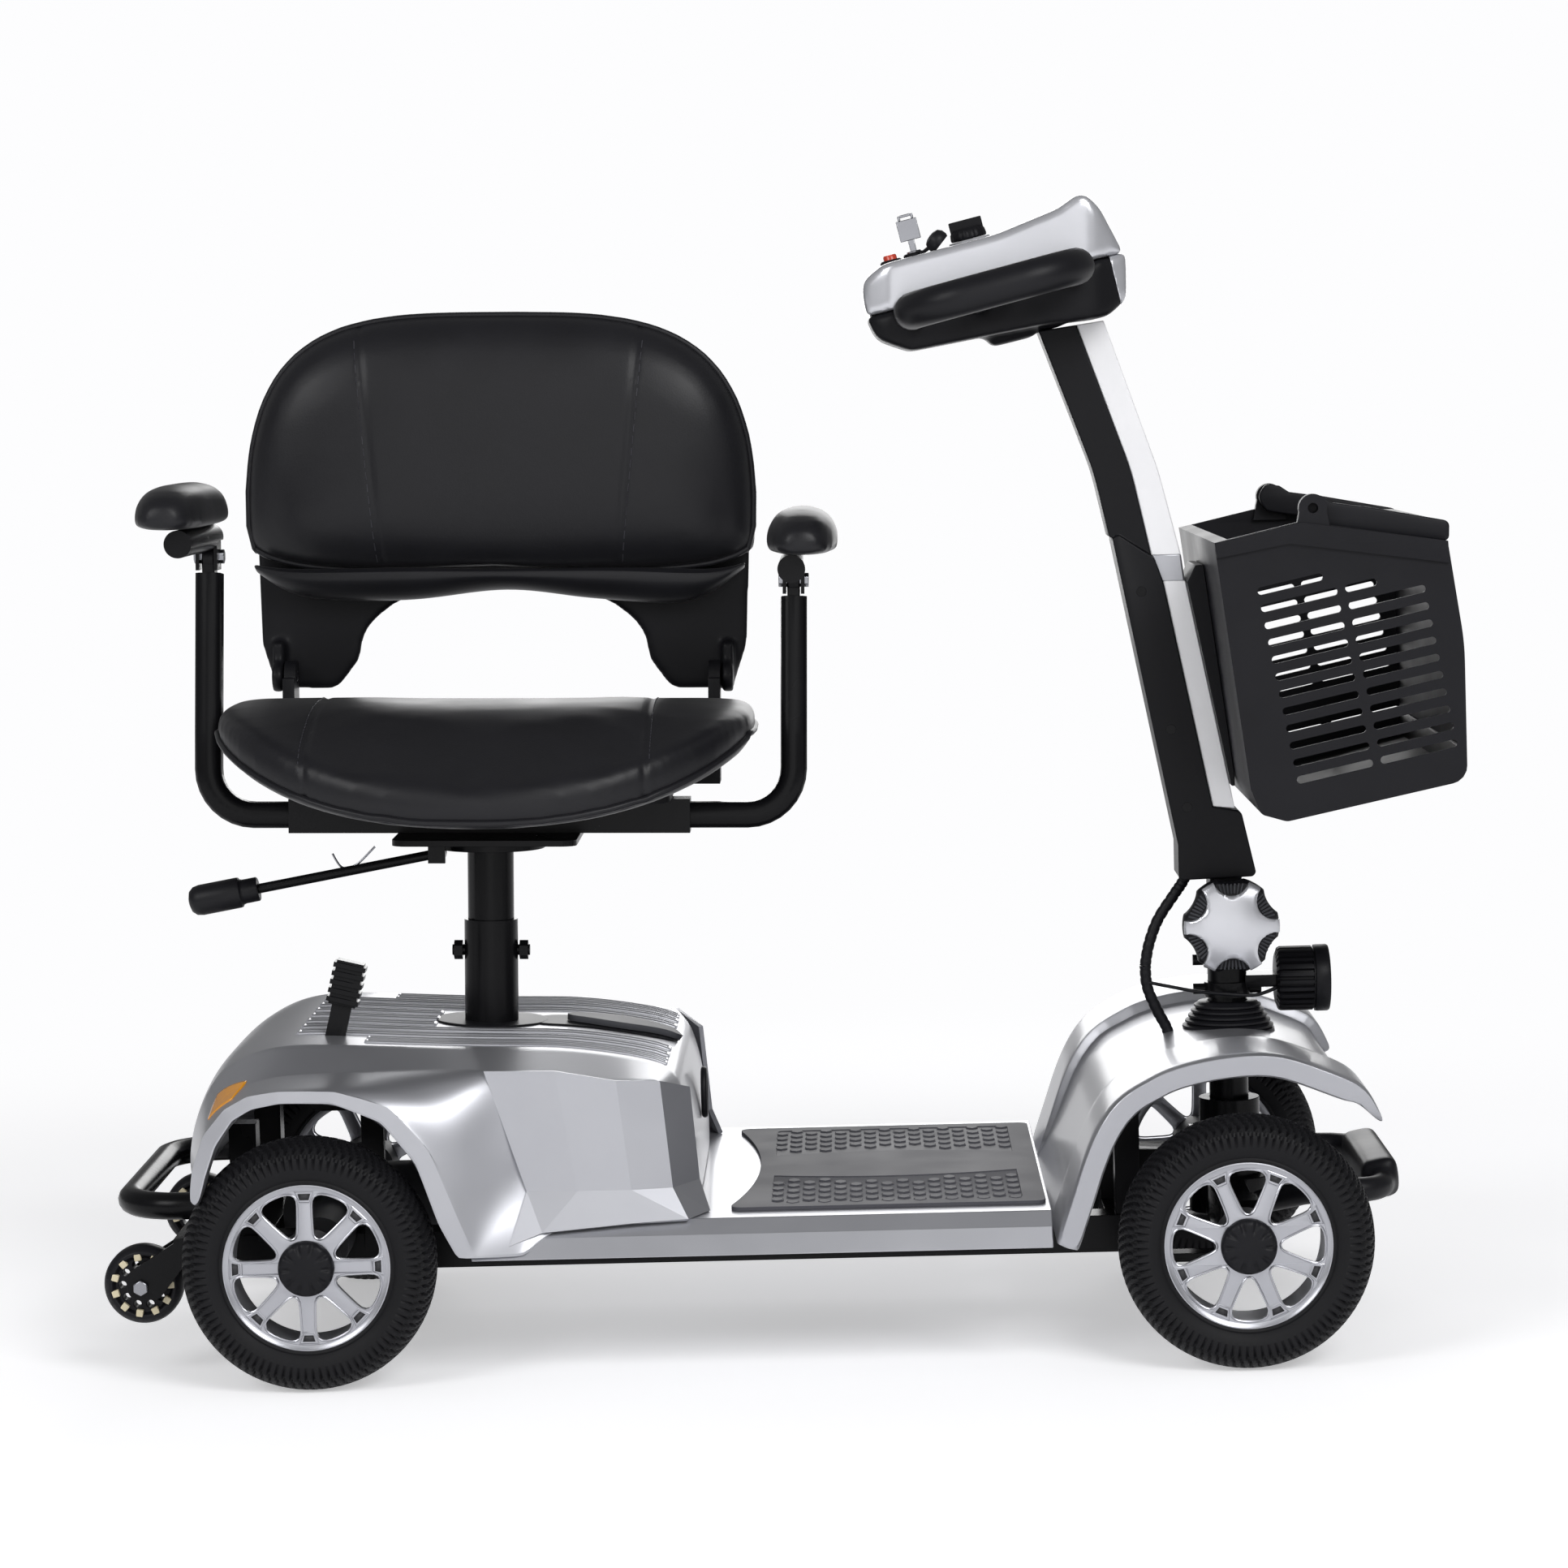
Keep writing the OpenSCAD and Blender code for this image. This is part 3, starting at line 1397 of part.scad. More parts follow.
function pad_ring(y, n, side) =
    let (m = (bar_front + bar_rear) / 2 - 8, q = (y - m) / (pad_len / 2))
    let (w = pad_w / 2 * pow(1 - pow(abs(q), 3.5), 1 / 3.5) + 1, h = 30 * pow(1 - pow(abs(q), 5), 1 / 3) + 2)
    [for (j = [0:n - 1])
        let (a = 360 * j / n, c = cos(a), s = sin(a))
        [side * 8 + w * sign(c) * pow(abs(c), 0.8), y, s > 0 ? h * pow(s, 0.8) : -4 * pow(-s, 0.5)]];

module arm_pad(side, x, top) {
    m = (bar_front + bar_rear) / 2 - 8;
    color("#1d1d20")
        in_seat()
            translate([side * x, 0, top + 16 + arm_d / 2 + 4 + run_fit])
                skin([for (i = [-10:10]) pad_ring(m + pad_len / 2 * 0.995 * sin(9 * i), 20, side)]);
}

module arm_tube_left() arm_tube(-1, left_arm_x, left_arm_z - 16);
module arm_tube_right() arm_tube(1, right_arm_x, right_arm_z - 16);
module arm_bar_left() arm_bar(-1, left_arm_x, left_arm_z - 16);
module arm_bar_right() arm_bar(1, right_arm_x, right_arm_z - 16);
module arm_pad_left() arm_pad(-1, left_arm_x, left_arm_z - 16);
module arm_pad_right() arm_pad(1, right_arm_x, right_arm_z - 16);

main_frame();
rear_bumper();
front_bumper();
transaxle();
controller_box();
battery_pack();
battery_handle();
rear_cover();
deck_cover();
front_cover();
floor_mat();
freewheel_lever();
rear_tyre_left();
rear_rim_left();
rear_tyre_right();
rear_rim_right();
front_tyre_left();
front_rim_left();
front_tyre_right();
front_rim_right();
front_axle_beam();
knuckle_left();
knuckle_right();
tie_rod();
anti_tip_arms();
anti_tip_wheel_left();
anti_tip_wheel_right();
steering_column();
steering_boot();
headlight_body();
headlight_lens();
harness();
tilt_knob();
tiller_post();
tiller_trim();
console_lower();
console_upper();
grip_left();
grip_right();
throttle_paddles();
ignition_key();
horn_button();
speed_dial();
basket_bracket();
basket();
basket_handle();
post_sleeve();
seat_post();
swivel_plate();
swivel_lever();
seat_pan();
seat_cushion();
backrest_shell();
back_cushion();
arm_tube_left();
arm_tube_right();
arm_bar_left();
arm_bar_right();
arm_pad_left();
arm_pad_right();
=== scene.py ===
"""Four-wheel mobility scooter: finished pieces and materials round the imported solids."""

import json
import math

import bmesh
import bpy
from mathutils import Matrix, Vector
from mathutils.bvhtree import BVHTree

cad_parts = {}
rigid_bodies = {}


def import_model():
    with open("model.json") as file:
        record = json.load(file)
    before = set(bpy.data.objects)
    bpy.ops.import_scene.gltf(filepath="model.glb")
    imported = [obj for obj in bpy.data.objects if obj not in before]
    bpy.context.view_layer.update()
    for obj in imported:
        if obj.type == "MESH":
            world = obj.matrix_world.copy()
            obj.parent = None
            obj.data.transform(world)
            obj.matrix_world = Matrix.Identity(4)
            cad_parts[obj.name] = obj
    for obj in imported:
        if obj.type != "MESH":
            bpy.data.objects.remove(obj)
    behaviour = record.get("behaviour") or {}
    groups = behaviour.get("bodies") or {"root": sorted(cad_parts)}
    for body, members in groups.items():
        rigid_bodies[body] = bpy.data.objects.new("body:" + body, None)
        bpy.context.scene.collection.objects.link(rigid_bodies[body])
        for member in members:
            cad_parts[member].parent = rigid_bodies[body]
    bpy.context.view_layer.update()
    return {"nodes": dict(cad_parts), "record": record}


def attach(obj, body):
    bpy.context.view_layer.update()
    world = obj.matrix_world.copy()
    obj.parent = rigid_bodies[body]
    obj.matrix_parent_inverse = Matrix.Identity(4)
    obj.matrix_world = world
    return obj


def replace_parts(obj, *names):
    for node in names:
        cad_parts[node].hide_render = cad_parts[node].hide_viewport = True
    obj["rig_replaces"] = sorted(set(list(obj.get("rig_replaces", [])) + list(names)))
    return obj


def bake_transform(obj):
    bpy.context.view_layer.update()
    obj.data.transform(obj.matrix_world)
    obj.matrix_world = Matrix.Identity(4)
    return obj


bl_info = {
    "name": "Mobility Scooter",
    "version": (1, 0, 0),
    "blender": (4, 5, 0),
    "location": "3D View > Sidebar > Scooter",
    "description": "Dresses the packed mobility scooter with finished pieces and materials",
    "category": "Object",
}

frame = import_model()
NODES = frame["nodes"]
BODY_OF = {n: b for b, ns in frame["record"]["behaviour"]["bodies"].items() for n in ns}
SLOT_OF = {s["node"]: s["material_slot"] for s in frame["record"]["subparts"]}
MM = 0.001
PER_METRE = 1000

# Places in millimetres, in the frame of the part
REAR_X, FRONT_X, WHEEL_Y, WHEEL_Z = -371.5, 360.5, 217.5, 100.0
STEER_X, TILT_Z = 367.0, 327.0
POST_X, POST_Z, POST_RAKE = -240.5, 259.0, math.radians(1.4)
TIP_X, TIP_Y, TIP_Z = -510.5, 162, 76
SPOKES = 8
MATERIALS = {}


# Helpers: colour, nodes, meshes
def linear(code):
    """Linear RGBA of an sRGB hex colour."""
    parts = [int(code[i : i + 2], 16) / 255 for i in (1, 3, 5)]
    return [c / 12.92 if c <= 0.04045 else ((c + 0.055) / 1.055) ** 2.4 for c in parts] + [1.0]


def add(tree, kind, inputs=None, **settings):
    """Adds a node with its settings, and sets or links its inputs."""
    node = tree.nodes.new(kind)
    for key, value in settings.items():
        setattr(node, key, value)
    for key, value in (inputs or {}).items():
        if isinstance(value, bpy.types.NodeSocket):
            tree.links.new(value, node.inputs[key])
        else:
            node.inputs[key].default_value = value
    return node


def finish(
    name, dark, light, rough, grain, depth, pattern="NOISE", spread=0.06, patch=60.0, shine=0.5, **shader
):
    """A material with tone patches, uneven gloss and a grain of the given size and depth in millimetres."""
    material = bpy.data.materials.new(name)
    material.use_nodes = True
    tree = material.node_tree
    tree.nodes.clear()
    place = add(tree, "ShaderNodeTexCoord").outputs["Object"]
    cloud = add(tree, "ShaderNodeTexNoise", {"Vector": place, "Scale": PER_METRE / patch, "Detail": 4.0})
    tone = add(
        tree, "ShaderNodeMix", {0: cloud.outputs["Fac"], 6: linear(dark), 7: linear(light)},
        data_type="RGBA",
    )
    gloss = add(
        tree,
        "ShaderNodeMapRange",
        {"Value": cloud.outputs["Fac"], "To Min": max(rough - spread, 0.02), "To Max": rough + spread},
    )
    if pattern == "CELLS":
        fine = add(
            tree, "ShaderNodeTexVoronoi", {"Vector": place, "Scale": PER_METRE / grain}
        ).outputs["Distance"]
    elif pattern == "BRUSHED":
        # Grain drawn out along X
        scale = (40 / grain, PER_METRE / grain, PER_METRE / grain)
        drawn = add(tree, "ShaderNodeMapping", {"Vector": place, "Scale": scale})
        fine = add(tree, "ShaderNodeTexNoise", {"Vector": drawn.outputs[0], "Scale": 1.0}).outputs["Fac"]
    else:
        fine = add(
            tree, "ShaderNodeTexNoise", {"Vector": place, "Scale": PER_METRE / grain, "Detail": 2.0}
        ).outputs["Fac"]
    bump = add(tree, "ShaderNodeBump", {"Height": fine, "Strength": 0.5, "Distance": depth * MM})
    inputs = {
        "Base Color": tone.outputs[2],
        "Roughness": gloss.outputs["Result"],
        "Normal": bump.outputs["Normal"],
        "Specular IOR Level": shine,
    }
    inputs.update({key.replace("_", " ").title(): value for key, value in shader.items()})
    inputs = {{"Ior": "IOR"}.get(key, key): value for key, value in inputs.items()}
    surface = add(tree, "ShaderNodeBsdfPrincipled", inputs)
    add(tree, "ShaderNodeOutputMaterial", {"Surface": surface.outputs[0]})
    MATERIALS[name] = material
    return material


def mesh_object(name, mesh):
    """Links a mesh into the scene as an object at the origin."""
    obj = bpy.data.objects.new(name, mesh)
    bpy.context.scene.collection.objects.link(obj)
    return obj


def form_object(name, form):
    """Links a bmesh in metres, which goes, into the scene as an object."""
    mesh = bpy.data.meshes.new(name)
    form.to_mesh(mesh)
    form.free()
    return mesh_object(name, mesh)


def modify(obj, kind, **settings):
    """Adds a modifier with its settings."""
    modifier = obj.modifiers.new(kind.title(), kind)
    for key, value in settings.items():
        setattr(modifier, key, value)
    return modifier


def bake(obj):
    """Applies an object's modifiers to its mesh."""
    graph = bpy.context.evaluated_depsgraph_get()
    old = obj.data
    obj.data = bpy.data.meshes.new_from_object(obj.evaluated_get(graph))
    obj.modifiers.clear()
    bpy.data.meshes.remove(old)


def dress(obj, body, material, replaces=(), sharp=35.0):
    """Gives a piece its material, shading, body and the solids that it stands for."""
    obj.data.materials.clear()
    obj.data.materials.append(MATERIALS[material])
    obj.data.shade_smooth()
    obj.data.set_sharp_from_angle(angle=math.radians(sharp))
    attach(obj, body)
    if replaces:
        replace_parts(obj, *replaces)
    return obj


def piece(
    name, form, body, material, replaces=(), sharp=35.0, subsurf=0, solid=0.0, bevel=0.0,
    crisp=False,
):
    """Turns a bmesh in millimetres into a finished piece; a crisp one keeps the edges of its fine mesh."""
    bmesh.ops.scale(form, vec=(MM, MM, MM), verts=form.verts)
    obj = form_object(name, form)
    if solid:
        modify(obj, "SOLIDIFY", thickness=abs(solid) * MM, offset=-1.0 if solid > 0 else 1.0)
    if bevel:
        modify(obj, "BEVEL", width=bevel * MM, segments=2, limit_method="ANGLE", angle_limit=math.radians(35))
    if subsurf:
        modify(obj, "SUBSURF", levels=subsurf, render_levels=subsurf)
    if crisp:
        bake(obj)
    return dress(obj, body, material, replaces, sharp)


def copy_of(node, name):
    """An object with a merged copy of a solid's mesh."""
    form = bmesh.new()
    form.from_mesh(NODES[node].data)
    bmesh.ops.remove_doubles(form, verts=form.verts, dist=2e-6)
    bmesh.ops.dissolve_limit(form, angle_limit=math.radians(0.6), verts=form.verts, edges=form.edges)
    return form_object(name, form)


def soften(node, material, width=1.0, segments=2, angle=32.0, sharp=32.0):
    """Stands a copy with rounded edges in place of a solid."""
    obj = copy_of(node, node + "_finish")
    modify(
        obj,
        "BEVEL",
        width=width * MM,
        segments=segments,
        limit_method="ANGLE",
        angle_limit=math.radians(angle),
        use_clamp_overlap=True,
        harden_normals=False,
    )
    return dress(obj, BODY_OF[node], material, (node,), sharp)


def melt(node, material, voxel=2.5, rounds=6, sharp=60.0, factor=0.5):
    """Stands an evenly meshed and smoothed copy in place of a solid, as a moulded form has soft edges."""
    obj = copy_of(node, node + "_finish")
    modify(obj, "REMESH", mode="VOXEL", voxel_size=voxel * MM)
    modify(obj, "SMOOTH", factor=factor, iterations=rounds)
    bake(obj)
    return dress(obj, BODY_OF[node], material, (node,), sharp)


def rounded(points, radii, steps=6):
    """The points of a line with a bend at each inner point, of one radius or of its own from a list."""
    points = [Vector(p) for p in points]
    line = [points[0]]
    radii = radii if isinstance(radii, list) else [radii] * len(points)
    for before, here, after, radius in zip(points, points[1:], points[2:], radii):
        u, v = (before - here).normalized(), (after - here).normalized()
        half = u.angle(v) / 2
        turn = math.pi - 2 * half
        if turn < 0.02:
            line.append(here)
            continue
        centre = here + (u + v).normalized() * radius / math.sin(half)
        start, end = here + u * radius / math.tan(half) - centre, here + v * radius / math.tan(half) - centre
        for i in range(steps + 1):
            t = i / steps
            reach = start * math.sin(turn * (1 - t)) + end * math.sin(turn * t)
            line.append(centre + reach / math.sin(turn))
    return line + [points[-1]]


def curve_line(points, steps=4):
    """A smooth line through given points."""
    points = [Vector(p) for p in points]
    line = []
    last = len(points) - 1
    for i in range(last):
        a, b, c, d = points[max(i - 1, 0)], points[i], points[i + 1], points[min(i + 2, last)]
        for s in range(steps):
            t = s / steps
            near = 2 * b + (c - a) * t + (2 * a - 5 * b + 4 * c - d) * t * t
            line.append(0.5 * (near + (3 * b - a - 3 * c + d) * t**3))
    return line + [points[-1]]


def spline_of(curve, points, closed=False, swell=None):
    """Adds a line through points in millimetres to a curve."""
    spline = curve.splines.new("POLY")
    spline.points.add(len(points) - 1)
    for i, (point, place) in enumerate(zip(spline.points, points)):
        point.co = [c * MM for c in (*place, 0)[:3]] + [1.0]
        point.radius = swell(i) if swell else 1.0
    spline.use_cyclic_u = closed


def curve_mesh(name, curve):
    """The mesh of a curve, which goes."""
    holder = bpy.data.objects.new(name + "_line", curve)
    bpy.context.scene.collection.objects.link(holder)
    graph = bpy.context.evaluated_depsgraph_get()
    mesh = bpy.data.meshes.new_from_object(holder.evaluated_get(graph))
    bpy.data.objects.remove(holder)
    bpy.data.curves.remove(curve)
    mesh.name = name
    return mesh


def tube_mesh(name, points, radius, sides=12, closed=False, swell=None, square=False):
    """A round or square tube along points, or along each of a list of lines, in millimetres, as an object."""
    curve = bpy.data.curves.new(name, "CURVE")
    curve.dimensions = "3D"
    curve.use_fill_caps = True
    section = None
    if square:
        section = bpy.data.curves.new(name + "_section", "CURVE")
        section.dimensions = "2D"
        r, c = radius, radius * 0.35
        corners = [
            (r, -r + c), (r, r - c), (r - c, r), (-r + c, r),
            (-r, r - c), (-r, -r + c), (-r + c, -r), (r - c, -r),
        ]
        spline_of(section, corners, True)
        shape = bpy.data.objects.new(name + "_section", section)
        curve.bevel_mode = "OBJECT"
        curve.bevel_object = shape
    else:
        curve.bevel_depth = radius * MM
        curve.bevel_resolution = max(sides // 4 - 1, 0)
    for line in points if isinstance(points[0], list) else [points]:
        spline_of(curve, line, closed, swell)
    obj = mesh_object(name, curve_mesh(name, curve))
    if section:
        bpy.data.objects.remove(shape)
        bpy.data.curves.remove(section)
    return obj


def plate(rings, depth, edge):
    """A flat plate with rounded edges, from an outline and its holes in millimetres, about Z = 0."""
    curve = bpy.data.curves.new("plate", "CURVE")
    curve.dimensions = "2D"
    curve.fill_mode = "BOTH"
    curve.extrude = (depth / 2 - edge) * MM
    curve.bevel_depth = edge * MM
    curve.bevel_resolution = 2
    curve.offset = -edge * MM
    for ring in rings:
        spline_of(curve, ring, True)
    mesh = curve_mesh("plate", curve)
    form = bmesh.new()
    form.from_mesh(mesh)
    bpy.data.meshes.remove(mesh)
    bmesh.ops.scale(form, vec=[PER_METRE] * 3, verts=form.verts)
    bmesh.ops.remove_doubles(form, verts=form.verts, dist=0.002)
    bmesh.ops.recalc_face_normals(form, faces=form.faces)
    return form


def circle(radius, count=96):
    """Points of a circle."""
    angles = [2 * math.pi * i / count for i in range(count)]
    return [(radius * math.cos(a), radius * math.sin(a)) for a in angles]


def tube(name, points, radius, body, material, replaces=(), sides=16, closed=False, square=False):
    """A finished tube of a body."""
    made = tube_mesh(name, points, radius, sides, closed, None, square)
    return dress(made, body, material, replaces, 50.0)


def seat_point(x, y, z):
    """Seat group millimetres to the part's frame."""
    return Vector(
        (
            POST_X + x * math.cos(POST_RAKE) + z * math.sin(POST_RAKE),
            y,
            POST_Z - x * math.sin(POST_RAKE) + z * math.cos(POST_RAKE),
        )
    )


SEAT_FRAME = Matrix.Translation((POST_X, 0, POST_Z)) @ Matrix.Rotation(POST_RAKE, 4, "Y")


def lathe(profile, steps=48):
    """A bmesh spun about Z from (radius, height) points."""
    form = bmesh.new()
    verts = [form.verts.new((r, 0, z)) for r, z in profile]
    edges = [form.edges.new(pair) for pair in zip(verts, verts[1:])]
    bmesh.ops.spin(
        form,
        geom=verts + edges,
        axis=(0, 0, 1),
        cent=(0, 0, 0),
        steps=steps,
        angle=2 * math.pi,
        use_merge=True,
    )
    bmesh.ops.remove_doubles(form, verts=form.verts, dist=1e-4)
    bmesh.ops.recalc_face_normals(form, faces=form.faces)
    return form


def block(form, low, high):
    """Adds a box between two corners to a bmesh."""
    low, high = Vector(low), Vector(high)
    size = high - low
    matrix = Matrix.Translation((low + high) / 2) @ Matrix.Diagonal((*size, 1.0))
    return bmesh.ops.create_cube(form, size=1.0, matrix=matrix)["verts"]


def rod(form, start, end, radius, sides=12, radius2=None):
    """Adds a capped rod between two points to a bmesh."""
    start, end = Vector(start), Vector(end)
    axis = end - start
    matrix = Matrix.Translation((start + end) / 2) @ axis.to_track_quat("Z", "Y").to_matrix().to_4x4()
    return bmesh.ops.create_cone(
        form,
        cap_ends=True,
        segments=sides,
        radius1=radius,
        radius2=radius if radius2 is None else radius2,
        depth=axis.length,
        matrix=matrix,
    )["verts"]


def sheet_grid(rows):
    """A bmesh grid whose vertices take the places of a table of rows."""
    form = bmesh.new()
    columns = len(rows[0])
    made = bmesh.ops.create_grid(form, x_segments=columns - 1, y_segments=len(rows) - 1, size=1.0)["verts"]
    made.sort(key=lambda v: (round(v.co.y, 4), round(v.co.x, 4)))
    for vert, place in zip(made, (p for row in rows for p in row)):
        vert.co = place
    return form


def moved(form, matrix):
    """Carries a whole bmesh by a matrix."""
    bmesh.ops.transform(form, matrix=matrix, verts=form.verts)
    return form


def face_along(form, look):
    """Turns the faces of a sheet so that, on the whole, they look along a direction."""
    bmesh.ops.recalc_face_normals(form, faces=form.faces)
    if sum(f.normal.dot(look) for f in form.faces) < 0:
        bmesh.ops.reverse_faces(form, faces=form.faces)


def crease(form, test, amount):
    """Sets the crease of the edges whose both ends pass a test."""
    layer = form.edges.layers.float.get("crease_edge") or form.edges.layers.float.new("crease_edge")
    for edge in form.edges:
        if all(test(v.co) for v in edge.verts):
            edge[layer] = amount


def at_wheel(x, side):
    """Places a wheel form made about Z, with +Z outwards, at an axle."""
    return Matrix.Translation((x, side * WHEEL_Y, WHEEL_Z)) @ Matrix.Rotation(-side * math.pi / 2, 4, "X")


WHEELS = [
    ("rear", "left", REAR_X, 1),
    ("rear", "right", REAR_X, -1),
    ("front", "left", FRONT_X, 1),
    ("front", "right", FRONT_X, -1),
]


# Settings that a user would change
class ScooterSettings(bpy.types.PropertyGroup):
    """Colours and sizes of the scooter's finish"""

    body_paint: bpy.props.StringProperty(
        name="Body paint", description="Colour of the painted covers, as an sRGB hex value", default="#B3B4B9"
    )
    tread_blocks: bpy.props.IntProperty(
        name="Tread grooves", description="Slanted grooves round each tyre", default=90, min=40, max=120
    )
    tread_depth: bpy.props.FloatProperty(
        name="Tread depth", description="Depth of the tread grooves", default=0.0030, unit="LENGTH"
    )
    cushion_swell: bpy.props.FloatProperty(
        name="Cushion swell", description="Most that a cushion swells", default=0.010, unit="LENGTH"
    )
    piping_radius: bpy.props.FloatProperty(
        name="Piping radius", description="Radius of the sewn piping", default=0.0026, unit="LENGTH"
    )


class SCOOTER_OT_materials(bpy.types.Operator):
    """Makes the procedural materials"""

    bl_idname = "scooter.materials"
    bl_label = "Materials"

    def execute(self, context):
        paint = context.scene.scooter.body_paint
        # Metallic paint on ABS covers: small bright flakes under a clear layer, soft broad highlights
        finish(
            "silver_paint_on_abs", "#A9AAB0", paint, 0.38, 1.2, 0.01,
            spread=0.03, metallic=0.72, coat_weight=0.35, coat_roughness=0.12,
        )
        # Brighter silver on the rims and the console shell, the same paint with a finer flake
        finish("silver_paint_on_rims", "#A6A7AD", "#B6B7BD", 0.30, 1.0, 0.01, spread=0.04, metallic=0.75)
        finish(
            "silver_paint_on_console", "#BFC0C5", "#D0D1D6", 0.26, 1.0, 0.008,
            spread=0.03, metallic=0.6, coat_weight=0.3, coat_roughness=0.1,
        )
        # Pale satin trim of the tiller: painted ABS, nearly white where it faces the light
        finish("pale_trim_paint", "#ECECEF", "#F6F6F8", 0.32, 1.0, 0.008, spread=0.04, metallic=0.1)
        # Moulded ABS, spark-eroded texture: fine dull grain, drawn at 0.9 mm so that it shows
        finish("black_moulded_abs", "#101013", "#18181B", 0.42, 0.9, 0.06, shine=0.14)
        # Polypropylene basket: smoother, slightly waxy
        finish("black_polypropylene", "#151518", "#1E1E22", 0.42, 1.4, 0.05, spread=0.08, shine=0.14)
        # Powder coat on steel tube: glossy black with faint orange peel of about 2 mm
        finish("black_powder_coat", "#0D0D0F", "#141416", 0.26, 2.0, 0.05, spread=0.05, shine=0.13)
        # Solid rubber tyre: matte, with dusty patches
        finish("tyre_rubber", "#101012", "#17171A", 0.55, 0.8, 0.05, spread=0.1, patch=35.0, shine=0.18)
        # Foam and soft rubber: satin skin with a fine closed-cell grain
        finish("black_foam_rubber", "#131316", "#1A1A1E", 0.42, 1.1, 0.08, spread=0.08, shine=0.2)
        # Floor mat: grey rubber sheet with a dull dusty bloom
        finish("grey_mat_rubber", "#47474D", "#535359", 0.6, 0.9, 0.06, spread=0.1, shine=0.25)
        # Grained vinyl on foam: pebbled cells of about 1.6 mm, soft sheen
        finish(
            "grained_vinyl", "#141417", "#1C1C20", 0.40, 1.6, 0.07,
            pattern="CELLS", spread=0.07, shine=0.25, sheen_weight=0.05, sheen_roughness=0.4,
        )
        # Waxed sewing thread, a little lighter than the vinyl
        finish("vinyl_thread", "#2E2E33", "#3A3A40", 0.5, 0.5, 0.05, shine=0.3)
        # Grey moulded handle and hub caps
        finish("grey_moulded_abs", "#3B3C40", "#47484D", 0.5, 0.9, 0.06, shine=0.25)
        finish("charcoal_moulded_abs", "#141417", "#1C1C20", 0.42, 0.9, 0.06, shine=0.15)
        finish("silver_battery_case", "#A9AAB0", "#B9BABF", 0.42, 1.0, 0.05, metallic=0.2)
        # Zinc plated and polished steel
        finish("plated_steel", "#85868B", "#A2A3A8", 0.24, 0.8, 0.01, pattern="BRUSHED", metallic=1.0)
        finish("cast_motor_housing", "#2A2A2C", "#3A3A3D", 0.55, 1.5, 0.15, metallic=0.4)
        # Red translucent button, amber reflector, clear lens, ivory windows
        finish("red_button_plastic", "#B4331F", "#C9432B", 0.3, 1.0, 0.02, coat_weight=0.3)
        finish("amber_reflector", "#D68A1E", "#EBA63A", 0.2, 4.0, 0.35, pattern="CELLS", coat_weight=0.5)
        finish("clear_lamp_lens", "#E4E9EC", "#F4F7F8", 0.05, 3.0, 0.05, transmission_weight=0.85, ior=1.49)
        finish("ivory_window", "#CFC3A2", "#DDD3B6", 0.35, 2.0, 0.02)
        return {"FINISHED"}


